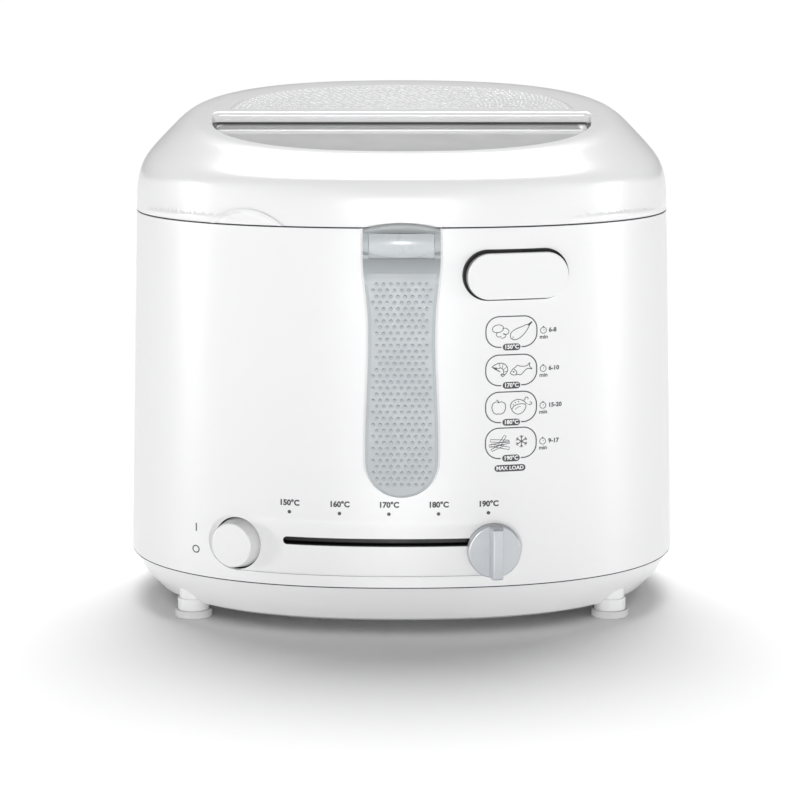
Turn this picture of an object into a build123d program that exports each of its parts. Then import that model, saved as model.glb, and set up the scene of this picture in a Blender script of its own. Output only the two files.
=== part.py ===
from build123d import *
import os
from math import atan2, ceil, cos, degrees, pi, radians, sin, sqrt

# Deep fryer with a fixed oil bowl, a front handle that folds up and lifts the basket, and a
# rear-hinged lid. Millimetres, +Z up, front towards -Y, origin on the table under the middle.

# ---------------------------------------------------------------- driving dimensions
OVAL_POWER = 2.31            # exponent of the rounded-oval plan shape
OVAL_POINTS = 32

FOOT_X, FOOT_Y = 112, 70
FOOT_PAD_R, FOOT_PAD_H = 10, 4.2
FOOT_LEG_R = 8.5
PAN_BOTTOM_Z = 6.4
SEAM_Z = 28.2                # seam between base pan and body shell
RIM_Z = 214                  # top edge of the body shell
SEAM_A, SEAM_B = 150.2, 124.2
RIM_A, RIM_B = 145, 120
BODY_WALL = 3
SEAM_GAP = 0.3
PAN_WALL = 2.5
PAN_FLOOR_A, PAN_FLOOR_B = 134, 110

# front controls
CONTROL_R = 267              # radius of the front wall at the height of the controls
CONTROL_Y = CONTROL_R - 124  # its centre, behind the middle of the fryer
BAND_Z, BAND_R, BAND_DEPTH = 48.4, 14.5, 1.5
POWER_X, POWER_Z = -86.8, 47.8
POWER_R, POWER_FACE_R, POWER_PROUD = 13.2, 11.6, 5
POWER_TRAVEL = 3
KNOB_X, KNOB_Z, KNOB_R = 48, 47.3, 13.9
KNOB_DISC, KNOB_RIB, KNOB_RIB_W = 4.5, 8, 6
SLOT_Z, SLOT_H, SLOT_LEFT, SLOT_RIGHT = 51.4, 4.2, -61.6, 55
KNOB_BASE = CONTROL_R + 0.5
KNOB_TURN = degrees(atan2(KNOB_X, sqrt((CONTROL_R + 4) ** 2 - KNOB_X ** 2)))
KNOB_SHANK_HALF = 3.2
TRACK_TURN_LEFT, TRACK_TURN_RIGHT = -14.6, 13.4
BUTTON_STEM_R, BUTTON_STEM_L, BUTTON_SKIRT = 4, 22, 4
SWITCH_FLOOR = 14            # depth of the plate that carries the power button's spring
TRACK_R, TRACK_WALL, TRACK_H = 262.9, 2.4, 22
CARRIAGE_WALL, CARRIAGE_LONG, CARRIAGE_H = 5, 22, 16
RUN_GAP = 0.3                # clearance between curved faces that slide

RELEASE_X, RELEASE_Z = 58.7, 190
RELEASE_LONG, RELEASE_H = 56.5, 26.3
RELEASE_GAP, RELEASE_PROUD, RELEASE_TRAVEL, RELEASE_PLATE = 1.25, 1.5, 3.5, 2
LOOP_W, LOOP_H, LOOP_DEPTH, LOOP_WALL = 24, 10, 16, 3
RELEASE_DROP = 0.6           # the plate sits this much low and to the right in its opening

# basket handle and its linkage (positions in the YZ plane)
HANDLE_Y, HANDLE_Z = -127.5, 208
BARREL_R, BARREL_END_R, BARREL_HALF = 9.3, 6.6, 19.6
STRAP_FRONT_Y, STRAP_T = -130.5, 8
STRAP_WAIST, STRAP_WAIST_Z = 17.7, 178
STRAP_LOW, STRAP_LOW_Z = 18.5, 105
STRAP_END_Z = 76.7
UNLOCK_HALF, UNLOCK_LOW_Z, UNLOCK_HIGH_Z = 16.4, 200.4, 213.1
UNLOCK_BACK, UNLOCK_TRAVEL, UNLOCK_GAP = 6, 1.5, 0.25
GEAR_MODULE, HANDLE_TEETH, ROCKER_TEETH = 1.04, 16, 20
GEAR_HALF = 4
MESH_DIRECTION = -30         # degrees from +Y, direction from handle pivot to rocker pivot
HANDLE_FOLD = 90
PIN_R, ROCKER_PIN_R, PIN_FIT = 2, 1.5, 0.06
CHEEK_IN, CHEEK_OUT = 6.2, 8.7
ROCKER_ARM, ROCKER_TIP_R = 34, 2
RELIEF = 0.6                 # room around the barrel in the body and lid
CHEEK_DIRECTION, CHEEK_HUB = -52, 4.4
CHEEK_SLOT_BELOW, CHEEK_SLOT_ABOVE, CHEEK_SLOT_R = 42, 52, 18
GEAR_DISTANCE = GEAR_MODULE * (HANDLE_TEETH + ROCKER_TEETH) / 2
ROCKER_Y = HANDLE_Y + GEAR_DISTANCE * cos(radians(MESH_DIRECTION))
ROCKER_Z = HANDLE_Z + GEAR_DISTANCE * sin(radians(MESH_DIRECTION))
ROCKER_SWING = HANDLE_FOLD * HANDLE_TEETH / ROCKER_TEETH
TIP_LOW = -ROCKER_SWING / 2  # direction of the rocker's arm with the basket down
TIP_Y = ROCKER_Y + ROCKER_ARM * cos(radians(TIP_LOW))
TIP_Z = ROCKER_Z + ROCKER_ARM * sin(radians(TIP_LOW))

# bowl and basket
COLLAR_LOW_Z, COLLAR_TOP_Z = 178, 212
BOWL_A, BOWL_B = 112, 92
BOWL_BOTTOM_Z, BOWL_WALL = 80, 1.2
COLLAR_WALL = 2.5
BASKET_Y = 7
BASKET_A, BASKET_B = 100, 77
BASKET_BOTTOM_A, BASKET_BOTTOM_B = 92, 69
BASKET_TOP_Z, BASKET_BOTTOM_Z = 170, 90
BASKET_SHEET = 0.8
RING_R = 2

# lid
LID_LOW_Z = 214.8
LID_WALL = 2.6
LID_POWER = 2.45
LID_TILT = 9.1               # the top slopes down towards the front
LID_TOP_Z = 265.5            # height of the top plane at y = 0
TOP_A, TOP_B, TOP_Y = 104, 85, -5
CREASE_A, CREASE_B = 142.5, 117.5
# sections of the lid above its lower edge: half width, height, tilt, and how far across and
# down the inside of a wall lies for each millimetre of its thickness
LID_PROFILE = (
    (144.7, 222.0, 0, 1.0, 0),
    (144.0, 230.0, 0.2, 1.0, 0.1),
    (CREASE_A, 236.4, 0.7, 1.0, 0.25),
    (140.6, 241.0, 1.6, 0.95, 0.4),
    (137.8, 245.2, 2.9, 0.85, 0.5),
    (133.8, 249.6, 4.4, 0.75, 0.65),
    (129.0, 254.2, 6.0, 0.7, 0.7),
    (124.2, 258.6, 7.5, 0.65, 0.75),
    (118.8, 262.4, 8.6, 0.5, 0.9),
    (112.0, 264.4, 9.1, 0.3, 1.0),
    (TOP_A, 264.8, LID_TILT, 0.2, 1.0),
)
WINDOW_BACK_Y, WINDOW_DEPTH, WINDOW_MARGIN = 0, 6, 0.8
WINDOW_CORNER, WINDOW_CORNER_LEAST, WINDOW_LIP = 4, 1, 1.8
PANE_T = 3
VENT_INSET = 3
HINGE_Y, HINGE_Z = 127, 211
HINGE_R, HINGE_PIN_R = 6.4, 2.5
HINGE_HOUSING_HALF, HINGE_HOUSING_LOW = 46, 176
REACH = 136.8                # rear reach of the hinge housing
ARM_IN, ARM_OUT = 18, 34
FIXED_KNUCKLES = ((-45, -34.5), (-6, 6), (34.5, 45))
VENT_FRONT_Y, VENT_CENTRE_Y, VENT_T = 7, 5, 2.6
VENT_SLIT_W, VENT_SLIT_L, VENT_PITCH_X, VENT_PITCH_Y = 1.6, 9, 12, 6
VENT_FIRST_Y, VENT_ROWS, VENT_REACH_X, VENT_REACH_Y = 16, 9, 82, 62
ARCH_X, ARCH_HALF, ARCH_H, ARCH_LIP, ARCH_PROUD, ARCH_SUNK = -80, 23.5, 8.8, 2, 0.8, 0.7
INNER_LID_A, INNER_LID_B, INNER_LID_Z, INNER_LID_T = 138.5, 114, 228, 1.2
SEAL_A, SEAL_B, SEAL_T = 127, 104, 2
LID_POST_X, LID_POST_Y, LID_POST_R = 100, 52, 4
LID_SCREW_R, LID_SCREW_L, SCREW_HEAD_R = 1.25, 11, 3
STEAM_HOLE_R, STEAM_PITCH_X, STEAM_PITCH_Y, STEAM_FIRST_Y, STEAM_ROWS = 2, 9, 8, 22, 7
FILTER_HALF, FILTER_FRONT_Y, FILTER_BACK_Y = 74, 15, 76
FILTER_WALL, FILTER_H, FILTER_PAD_H, FILTER_BAR_PITCH = 1.6, 16, 11, 11

# fixings, heat and wiring
SCREW_R, BASE_HEAD_R = 2, 3.8
GLAND_Z, GLAND_R, GLAND_BORE = 46, 7, 3.6
COLLAR_SCREW_X, COLLAR_SCREW_Y, COLLAR_SCREW_R = 98, 68, 1.3
ELEMENT_R, ELEMENT_TUBE, ELEMENT_SPAN, ELEMENT_PIN_R = 60, 3.4, 320, 1.2
PLATE_R, PLATE_T = 78, 3
SHIELD_A, SHIELD_B, SHIELD_Z, SHIELD_LIP, SHIELD_SHEET = 120, 98, 62, 6, 0.8
SHIELD_POST_X, SHIELD_POST_Y = 58, 48
THERMOSTAT_Y, THERMOSTAT_W, THERMOSTAT_H = 20, 40, 14
THERMOSTAT_TOP = SHIELD_Z
THERMOSTAT_LOW = THERMOSTAT_TOP - THERMOSTAT_H
SENSOR_X, SENSOR_R, SENSOR_L, CAPILLARY_R = 12, 2, 60, 0.9
FUSE_X, FUSE_Y, FUSE_R, FUSE_L = -20, -25, 3, 16
LEVER_Z, LEVER_T, LEVER_SHAFT_R = 35.5, 3, 3
LEVER_REST = 19.6            # degrees from -Y towards +X with the knob at its right end
LEVER_PIN_R, LEVER_SLOT_GAP, CARRIAGE_PIN_RADIUS = 2, 1.1, 252
LEVER_IN, LEVER_OUT = 128.5, 134.5
TERMINAL_Y, TERMINAL_PITCH, TERMINAL_R = 92, 12, 2.4


# ---------------------------------------------------------------- shared shapes
def oval_face(a, b, z=0, y=0, tilt=0, power=OVAL_POWER):
    """Rounded-oval face |x/a|^p + |y/b|^p = 1, tilted about its own X axis."""
    points = []
    for i in range(OVAL_POINTS):
        t = 2 * pi * (i + 0.5) / OVAL_POINTS
        c, s = cos(t), sin(t)
        u = a * abs(c) ** (2 / power) * (1 if c > 0 else -1)
        v = b * abs(s) ** (2 / power) * (1 if s > 0 else -1)
        points.append((u, y + v * cos(radians(tilt)), z + v * sin(radians(tilt))))
    return Face(Wire([Edge.make_spline([Vector(*p) for p in points], periodic=True)]))


def oval_solid(sections, ruled=False):
    return loft([oval_face(*s) for s in sections], ruled=ruled)


def oval_block(a, b, z0, z1, y=0, power=OVAL_POWER):
    return extrude(oval_face(a, b, z0, y, 0, power), amount=z1 - z0, dir=(0, 0, 1))


def oval_ring(a, b, wall, z0, z1, y=0):
    return oval_block(a, b, z0, z1, y) - oval_block(a - wall, b - wall, z0 - 1, z1 + 1, y)


def box(x0, x1, y0, y1, z0, z1):
    return Pos((x0 + x1) / 2, (y0 + y1) / 2, (z0 + z1) / 2) * Box(x1 - x0, y1 - y0, z1 - z0)


def rod(radius, x0, x1, y, z):
    """Round bar along X."""
    return Pos((x0 + x1) / 2, y, z) * Rot(0, 90, 0) * Cylinder(radius, x1 - x0)


def post(radius, x, y, z0, z1):
    return Pos(x, y, (z0 + z1) / 2) * Cylinder(radius, z1 - z0)


def mirrored(shape):
    return shape + mirror(shape, about=Plane.YZ)


def four(x, y):
    """The four points mirrored about both vertical planes."""
    return [(sx * x, sy * y) for sx in (-1, 1) for sy in (-1, 1)]


def half_axes(z):
    """Half width and half depth of the outside of the body at height z."""
    t = (z - SEAM_Z) / (RIM_Z - SEAM_Z)
    return SEAM_A + (RIM_A - SEAM_A) * t, SEAM_B + (RIM_B - SEAM_B) * t


def body_solid(inset, z0=SEAM_Z, z1=RIM_Z):
    """Outer body volume, drawn in by inset."""
    a0, b0 = half_axes(z0)
    a1, b1 = half_axes(z1)
    return oval_solid([(a0 - inset, b0 - inset, z0), (a1 - inset, b1 - inset, z1)])


def wall_plane(x, z):
    """Plane on the outside of the front wall: +Z out of the wall, +X along it."""
    a, b = half_axes(z)
    u = abs(x) / a
    side = 1 if x > 0 else -1
    y = -b * (1 - u ** OVAL_POWER) ** (1 / OVAL_POWER)
    slope = side * b / a * (1 - u ** OVAL_POWER) ** (1 / OVAL_POWER - 1) * u ** (OVAL_POWER - 1)
    length = sqrt(1 + slope * slope)
    return Plane(origin=(x, y, z), x_dir=(1 / length, slope / length, 0), z_dir=(slope, -1, 0))


def front_prism(sketch, y0, y1):
    """Extrude a sketch drawn in X and Z along Y, from y0 to y1."""
    placed = Plane(origin=(0, y1, 0), x_dir=(1, 0, 0), z_dir=(0, -1, 0)) * sketch
    return extrude(placed, amount=y1 - y0)


def side_prism(sketch, x0, x1):
    """Extrude a sketch drawn in Y and Z along X, from x0 to x1."""
    placed = Plane(origin=(x0, 0, 0), x_dir=(0, 1, 0), z_dir=(1, 0, 0)) * sketch
    return extrude(placed, amount=x1 - x0)


def coil(radius, wire, length, turns):
    """Coil spring along +Z from the origin."""
    path = Helix(pitch=length / turns, height=length, radius=radius)
    start = Plane(origin=path @ 0, z_dir=path % 0)
    return sweep(start * Circle(wire), path=path)


def smooth_tube(radius, points, bend):
    path = FilletPolyline(*points, radius=bend)
    return sweep(Plane(origin=path @ 0, z_dir=path % 0) * Circle(radius), path=path)


# ---------------------------------------------------------------- body
def barrel_volume(extra):
    """Crowned barrel around the handle's pivot, grown by extra."""
    half = BARREL_HALF + extra
    end_r, mid_r = BARREL_END_R + extra, BARREL_R + extra
    outline = Polyline((-half, end_r), (-half, 0), (half, 0), (half, end_r))
    crown = ThreePointArc((half, end_r), (0, mid_r), (-half, end_r))
    turned = revolve(make_face(Curve() + [outline, crown]), axis=Axis.X)
    return Pos(0, HANDLE_Y, HANDLE_Z) * turned


def strap_outline(grow=0):
    """Front outline of the handle, in X and Z."""
    top = HANDLE_Z + BARREL_R + 2 + grow
    centre = STRAP_END_Z + STRAP_LOW
    w0, w1, w2 = BARREL_HALF + grow, STRAP_WAIST + grow, STRAP_LOW + grow
    side = Spline((w0, UNLOCK_LOW_Z), (w1, STRAP_WAIST_Z), (w2, STRAP_LOW_Z), (w2, centre),
                  tangents=((0, -1), (0, -1)))
    other = mirror(side, about=Plane.YZ)
    end = ThreePointArc((w2, centre), (0, centre - w2), (-w2, centre))
    head = Polyline((w0, UNLOCK_LOW_Z), (w0, top), (-w0, top), (-w0, UNLOCK_LOW_Z))
    return make_face(Curve() + [side, end, other, head])


def band_outline():
    left, right = POWER_X, KNOB_X
    return Pos((left + right) / 2, BAND_Z) * SlotOverall(right - left + 2 * BAND_R, 2 * BAND_R)


def release_outline(gap):
    return SlotOverall(RELEASE_LONG - 2 * gap, RELEASE_H - 2 * gap)


def make_body_shell():
    boss_r, boss_top, rib_t = 6, 52, 3
    notch_half, notch_low = CHEEK_OUT + 0.8, 184
    recess_grow, recess_depth = 1.3, 1.4
    outer = body_solid(0)
    shell = outer - body_solid(BODY_WALL, SEAM_Z - 1, RIM_Z + 1)
    shell -= front_prism(band_outline(), -SEAM_B - 5, -60) & (outer - body_solid(BAND_DEPTH))
    shell -= front_prism(strap_outline(recess_grow), -SEAM_B - 5, -60) & (
        outer - body_solid(recess_depth))
    shell -= barrel_volume(RELIEF)
    shell -= box(-notch_half, notch_half, -SEAM_B, -100, notch_low, RIM_Z + 1)
    slot_long = SLOT_RIGHT - SLOT_LEFT
    slot = Pos((SLOT_LEFT + SLOT_RIGHT) / 2, SLOT_Z) * SlotOverall(slot_long, SLOT_H)
    shell -= front_prism(slot, -SEAM_B - 5, -90)
    shell -= wall_plane(POWER_X, POWER_Z) * Cylinder(POWER_R + RELIEF, 30)
    shell -= wall_plane(RELEASE_X, RELEASE_Z) * extrude(release_outline(0), amount=15, both=True)
    shell -= box(-HINGE_HOUSING_HALF, HINGE_HOUSING_HALF, 100, 130, HINGE_HOUSING_LOW, RIM_Z + 1)
    inside = body_solid(BODY_WALL - 0.2)
    for x, y in four(FOOT_X, FOOT_Y):
        boss = post(boss_r, x, y, SEAM_Z + 4, boss_top)
        turn = degrees(atan2(y, x))
        rib = Pos(x, y, (SEAM_Z + 4 + boss_top) / 2) * Rot(0, 0, turn) * Pos(15, 0, 0) * Box(
            30, rib_t, boss_top - SEAM_Z - 4)
        shell += ((boss + rib) & inside) - post(SCREW_R, x, y, SEAM_Z, boss_top - 4)
    shell -= Pos(0, SEAM_B, GLAND_Z) * Rot(90, 0, 0) * Cylinder(GLAND_R, 20)
    return shell


def pan_solid(inset, low, high):
    """Inside or outside of the pan: drawn in towards a rounded bottom edge."""
    return oval_solid([
        (PAN_FLOOR_A - 4 - inset, PAN_FLOOR_B - 4 - inset, low),
        (PAN_FLOOR_A + 1.5 - inset, PAN_FLOOR_B + 1.5 - inset, low + 2.2),
        (143.5 - inset, 118 - inset, 17),
        (SEAM_A - 0.7 - inset, SEAM_B - 0.7 - inset, high),
    ], ruled=True)


def make_base_pan():
    vent_w, vent_l, vent_pitch, vent_count = 4, 60, 10, 9
    lip_h, lip_t = 3.4, 2
    top = SEAM_Z - SEAM_GAP
    pan = pan_solid(0, PAN_BOTTOM_Z, top) - pan_solid(PAN_WALL, PAN_BOTTOM_Z + PAN_WALL, top + 0.5)
    a, b = half_axes(SEAM_Z)
    lip_gap = BODY_WALL + 0.3
    pan += oval_ring(a - lip_gap, b - lip_gap, lip_t, SEAM_Z - 3, SEAM_Z + lip_h)
    for i in range(vent_count):
        x = (i - (vent_count - 1) / 2) * vent_pitch
        pan -= box(x - vent_w / 2, x + vent_w / 2, -vent_l / 2, vent_l / 2, 0, PAN_BOTTOM_Z + 5)
    for x, y in four(FOOT_X, FOOT_Y):
        pan += post(FOOT_LEG_R, x, y, FOOT_PAD_H, PAN_BOTTOM_Z + 4)
        pan += post(FOOT_LEG_R - 1, x, y, PAN_BOTTOM_Z + 1, SEAM_Z + 3.8)
        pan -= post(SCREW_R + 0.2, x, y, FOOT_PAD_H - 1, SEAM_Z + 4)
        pan -= post(4.2, x, y, FOOT_PAD_H - 1, SEAM_Z - 12)
    return pan


def make_foot_pads():
    pads = []
    for x, y in four(FOOT_X, FOOT_Y):
        pad = Pos(x, y, FOOT_PAD_H / 2) * Cylinder(FOOT_PAD_R, FOOT_PAD_H)
        pads.append(fillet(pad.edges().filter_by(GeomType.CIRCLE), 0.8))
    return pads


def make_base_screws():
    screws = []
    for x, y in four(FOOT_X, FOOT_Y):
        shank = post(SCREW_R, x, y, SEAM_Z - 12, SEAM_Z + 16)
        head = post(BASE_HEAD_R, x, y, SEAM_Z - 15, SEAM_Z - 12)
        screws.append(head + shank)
    return screws


def make_top_collar():
    """White ring between the bowl and the body shell, open at the front for the linkage."""
    a, b = half_axes(COLLAR_TOP_Z - 6)
    plate_t = 3
    gap = BODY_WALL + 0.4
    collar = oval_block(a - gap, b - gap, COLLAR_TOP_Z - plate_t, COLLAR_TOP_Z)
    collar += oval_block(BOWL_A + COLLAR_WALL, BOWL_B + COLLAR_WALL, COLLAR_LOW_Z, COLLAR_TOP_Z - 1)
    collar -= oval_block(BOWL_A, BOWL_B, COLLAR_LOW_Z - 1, COLLAR_TOP_Z + 1)
    collar -= rod(BARREL_R + RELIEF, -BARREL_HALF - 1, BARREL_HALF + 1, HANDLE_Y, HANDLE_Z)
    collar -= box(-CHEEK_OUT - 0.8, CHEEK_OUT + 0.8, -130, -80, COLLAR_LOW_Z + 3, COLLAR_TOP_Z + 1)
    hook = wall_plane(RELEASE_X, RELEASE_Z)
    collar -= hook * Pos(0, 6, -10) * Box(34, 40, 22)
    collar -= box(-HINGE_HOUSING_HALF, HINGE_HOUSING_HALF, 112, 140, COLLAR_LOW_Z, COLLAR_TOP_Z + 1)
    for x, y in four(COLLAR_SCREW_X, COLLAR_SCREW_Y):
        collar += post(4, x, y, COLLAR_LOW_Z, COLLAR_TOP_Z - 2)
        collar -= post(1.4, x, y, COLLAR_LOW_Z - 1, COLLAR_TOP_Z - 6)
    return collar


# ---------------------------------------------------------------- bowl, heat and wiring
def tub(inset, top=COLLAR_LOW_Z):
    return oval_solid([
        (BOWL_A - 10 - inset, BOWL_B - 10 - inset, BOWL_BOTTOM_Z + inset),
        (BOWL_A - 3 - inset, BOWL_B - 3 - inset, BOWL_BOTTOM_Z + 8),
        (BOWL_A - inset, BOWL_B - inset, top),
    ], ruled=True)


def make_oil_bowl():
    flange_w, flange_t = 9, 1.5
    lip_z = COLLAR_LOW_Z - 0.1
    bowl = tub(0, lip_z) + oval_block(BOWL_A + flange_w, BOWL_B + flange_w, lip_z - flange_t, lip_z)
    bowl -= tub(BOWL_WALL, COLLAR_LOW_Z + 1)
    for x, y in four(COLLAR_SCREW_X, COLLAR_SCREW_Y):
        bowl -= post(1.8, x, y, lip_z - 3, lip_z + 1)
    return bowl


def make_collar_screws():
    screws = []
    for x, y in four(COLLAR_SCREW_X, COLLAR_SCREW_Y):
        shank = post(COLLAR_SCREW_R, x, y, COLLAR_LOW_Z - 2, COLLAR_LOW_Z + 9)
        screws.append(shank + post(SCREW_HEAD_R, x, y, COLLAR_LOW_Z - 4, COLLAR_LOW_Z - 1.7))
    return screws


def make_element_plate():
    return post(PLATE_R, 0, 0, BOWL_BOTTOM_Z - PLATE_T, BOWL_BOTTOM_Z)


def make_heating_element():
    """Tubular ring clamped under the plate, with two cold ends turned down at the rear."""
    z = BOWL_BOTTOM_Z - PLATE_T - ELEMENT_TUBE
    section = Plane.XZ * Pos(ELEMENT_R, 0) * Circle(ELEMENT_TUBE)
    start = 90 + (360 - ELEMENT_SPAN) / 2
    ring = Pos(0, 0, z) * Rot(0, 0, start) * revolve(section, axis=Axis.Z, revolution_arc=ELEMENT_SPAN)
    for side in (-1, 1):
        turn = radians(90 + side * (360 - ELEMENT_SPAN) / 2)
        x, y = ELEMENT_R * cos(turn), ELEMENT_R * sin(turn)
        ring += post(ELEMENT_TUBE, x, y, SHIELD_Z - 8, z) + Pos(x, y, z) * Sphere(ELEMENT_TUBE)
        ring += post(ELEMENT_PIN_R, x, y, SHIELD_Z - 16, SHIELD_Z)
    return ring


def make_heat_shield():
    in_a, in_b = SHIELD_A - SHIELD_SHEET, SHIELD_B - SHIELD_SHEET
    low, high = SHIELD_Z - 1, SHIELD_Z + SHIELD_LIP + 1
    tray = oval_block(SHIELD_A, SHIELD_B, SHIELD_Z, SHIELD_Z + SHIELD_LIP)
    tray -= oval_block(in_a, in_b, SHIELD_Z + SHIELD_SHEET, high)
    for side in (-1, 1):
        turn = radians(90 + side * (360 - ELEMENT_SPAN) / 2)
        tray -= post(ELEMENT_TUBE + 1.5, ELEMENT_R * cos(turn), ELEMENT_R * sin(turn), low, high)
    tray -= post(SENSOR_R + 0.6, SENSOR_X, THERMOSTAT_Y, low, high)
    for x, y in four(SHIELD_POST_X, SHIELD_POST_Y):
        tray -= post(1.8, x, y, low, high)
    return tray


def make_shield_posts():
    posts = []
    for x, y in four(SHIELD_POST_X, SHIELD_POST_Y):
        stem = post(4, x, y, PAN_BOTTOM_Z + PAN_WALL, SHIELD_Z)
        stud = post(1.7, x, y, SHIELD_Z, SHIELD_Z + 3)
        posts.append(stem + stud + post(3, x, y, SHIELD_Z + SHIELD_SHEET, SHIELD_Z + 3))
    return posts


def make_thermostat_body():
    half = THERMOSTAT_W / 2
    body = box(-half, half, THERMOSTAT_Y - half, THERMOSTAT_Y + half, THERMOSTAT_LOW, THERMOSTAT_TOP)
    body = fillet(body.edges().filter_by(Axis.Z), 4)
    body += post(8, 0, THERMOSTAT_Y, THERMOSTAT_LOW - 3, THERMOSTAT_LOW)
    for x in (-10, 10):
        tab_y = THERMOSTAT_Y + half
        body += box(x - 3, x + 3, tab_y, tab_y + 8, THERMOSTAT_LOW + 5, THERMOSTAT_LOW + 5.8)
    body -= post(LEVER_SHAFT_R + PIN_FIT, 0, THERMOSTAT_Y, THERMOSTAT_LOW - 4, THERMOSTAT_LOW + 8)
    return body


def make_thermostat_sensor():
    """Bulb under the bowl's plate, with its capillary down to the thermostat."""
    z = BOWL_BOTTOM_Z - PLATE_T - SENSOR_R - 0.2
    bulb = rod(SENSOR_R, -SENSOR_L / 2, SENSOR_L / 2, 0, z)
    foot = (SENSOR_X, THERMOSTAT_Y, THERMOSTAT_TOP)
    tube = smooth_tube(CAPILLARY_R, [foot, (SENSOR_X, THERMOSTAT_Y, z - 3), (SENSOR_X, 0, z - 0.6)], 4)
    return bulb + tube


def make_thermal_fuse():
    z = BOWL_BOTTOM_Z - PLATE_T
    x0, x1 = FUSE_X - 4, FUSE_X + 4
    can = rod(FUSE_R, FUSE_X - FUSE_L / 2, FUSE_X + FUSE_L / 2, FUSE_Y, z - FUSE_R)
    clamp = box(x0, x1, FUSE_Y - 5, FUSE_Y + 5, z - 0.8, z)
    for y in (FUSE_Y - 4, FUSE_Y + 4):
        clamp += box(x0, x1, y - 1, y + 1, z - 7, z)
    return can + clamp


def make_thermostat_lever():
    arm_w = 2 * (LEVER_PIN_R + LEVER_SLOT_GAP) + 5
    arm = Pos(0, -LEVER_OUT / 2) * Rectangle(arm_w, LEVER_OUT)
    arm += Circle(9)
    arm += Pos(0, -LEVER_OUT) * Circle(LEVER_PIN_R + LEVER_SLOT_GAP + 2.3)
    mid = (LEVER_IN + LEVER_OUT) / 2
    long = LEVER_OUT - LEVER_IN + 2 * (LEVER_PIN_R + LEVER_SLOT_GAP)
    arm -= Pos(0, -mid) * Rot(0, 0, 90) * SlotOverall(long, 2 * (LEVER_PIN_R + LEVER_SLOT_GAP))
    lever = extrude(arm, amount=LEVER_T)
    lever += Pos(0, 0, -3) * Cylinder(6, 6, align=(Align.CENTER, Align.CENTER, Align.MIN))
    lever += Pos(0, 0, -3) * Cylinder(LEVER_SHAFT_R, THERMOSTAT_LOW + 6 - LEVER_Z + 3,
                                      align=(Align.CENTER, Align.CENTER, Align.MIN))
    return Pos(0, THERMOSTAT_Y, LEVER_Z) * Rot(0, 0, LEVER_REST) * lever


# ---------------------------------------------------------------- temperature slider
def around_controls(turn):
    """Places a shape drawn at the front of the slider's circle at an angle towards +X."""
    return Pos(0, CONTROL_Y, 0) * Rot(0, 0, turn)


def ring_sector(r0, r1, z0, z1, turn0, turn1):
    """Part of a ring about the slider's axis, between two angles towards +X."""
    a0, a1 = radians(turn0), radians(turn1)
    am = (a0 + a1) / 2

    def at(r, a):
        return (r * sin(a), CONTROL_Y - r * cos(a))

    edges = [ThreePointArc(at(r1, a0), at(r1, am), at(r1, a1)), Line(at(r1, a1), at(r0, a1)),
             ThreePointArc(at(r0, a1), at(r0, am), at(r0, a0)), Line(at(r0, a0), at(r1, a0))]
    return Pos(0, 0, z0) * extrude(make_face(Curve() + edges), amount=z1 - z0)


def make_slider_track():
    """Black channel behind the slot: front wall, rails, and a back wall above the carriage's arm."""
    z0, z1 = SLOT_Z - TRACK_H / 2, SLOT_Z + TRACK_H / 2
    inner = TRACK_R - TRACK_WALL
    rail_in = inner - CARRIAGE_WALL - RUN_GAP
    left, right = TRACK_TURN_LEFT, TRACK_TURN_RIGHT
    track = ring_sector(inner, TRACK_R, z0, z1, left, right)
    opening = Pos((SLOT_LEFT + SLOT_RIGHT) / 2, SLOT_Z) * SlotOverall(SLOT_RIGHT - SLOT_LEFT, SLOT_H)
    track -= front_prism(opening, -SEAM_B - 5, -90)
    track += ring_sector(rail_in, inner, z0, z0 + 2.2, left, right)
    track += ring_sector(rail_in - 3, inner, z1 - 2.2, z1, left, right)
    track += ring_sector(rail_in - 3, rail_in - 1, SLOT_Z - 4, z1, left, right)
    return track


def knob_shank(y0, y1):
    """Flat shank through the slot, between the carriage and the knob."""
    half_h = SLOT_H / 2 - RUN_GAP
    bar = box(-KNOB_SHANK_HALF, KNOB_SHANK_HALF, y0, y1, SLOT_Z - half_h, SLOT_Z + half_h)
    return around_controls(KNOB_TURN) * bar


def make_slider_carriage():
    half = degrees(CARRIAGE_LONG / 2 / TRACK_R)
    outer = TRACK_R - TRACK_WALL - RUN_GAP
    low, high = SLOT_Z - CARRIAGE_H / 2, SLOT_Z + CARRIAGE_H / 2
    block = ring_sector(outer - CARRIAGE_WALL + 0.6, outer, low, high, KNOB_TURN - half, KNOB_TURN + half)
    shank = knob_shank(-KNOB_BASE - 2, -outer + 2)
    arm = box(-4, 4, -outer + 1, -CARRIAGE_PIN_RADIUS + 4, low, low + 3)
    pin = post(LEVER_PIN_R, 0, -CARRIAGE_PIN_RADIUS, LEVER_Z - 1.5, low + 1)
    return block + shank + around_controls(KNOB_TURN) * (arm + pin)


def make_temperature_knob():
    """Flat disc with a rounded grip rib down its middle."""
    disc = Cylinder(KNOB_R, KNOB_DISC, align=(Align.CENTER, Align.CENTER, Align.MIN))
    disc = fillet(disc.edges().group_by(Axis.Z)[-1], 0.8)
    rib = Rectangle(KNOB_RIB_W, 2 * KNOB_R)
    rib = extrude(rib, amount=KNOB_DISC + KNOB_RIB) & Cylinder(
        KNOB_R - 0.4, 60, align=(Align.CENTER, Align.CENTER, Align.CENTER))
    rib = fillet(rib.edges().group_by(Axis.Z)[-1], 1.2)
    knob = disc + rib
    knob = Rot(90, 0, 0) * knob
    placed = around_controls(KNOB_TURN) * Pos(0, -KNOB_BASE, KNOB_Z) * knob
    return placed - knob_shank(-KNOB_BASE - 2, -KNOB_BASE + 5)


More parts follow.
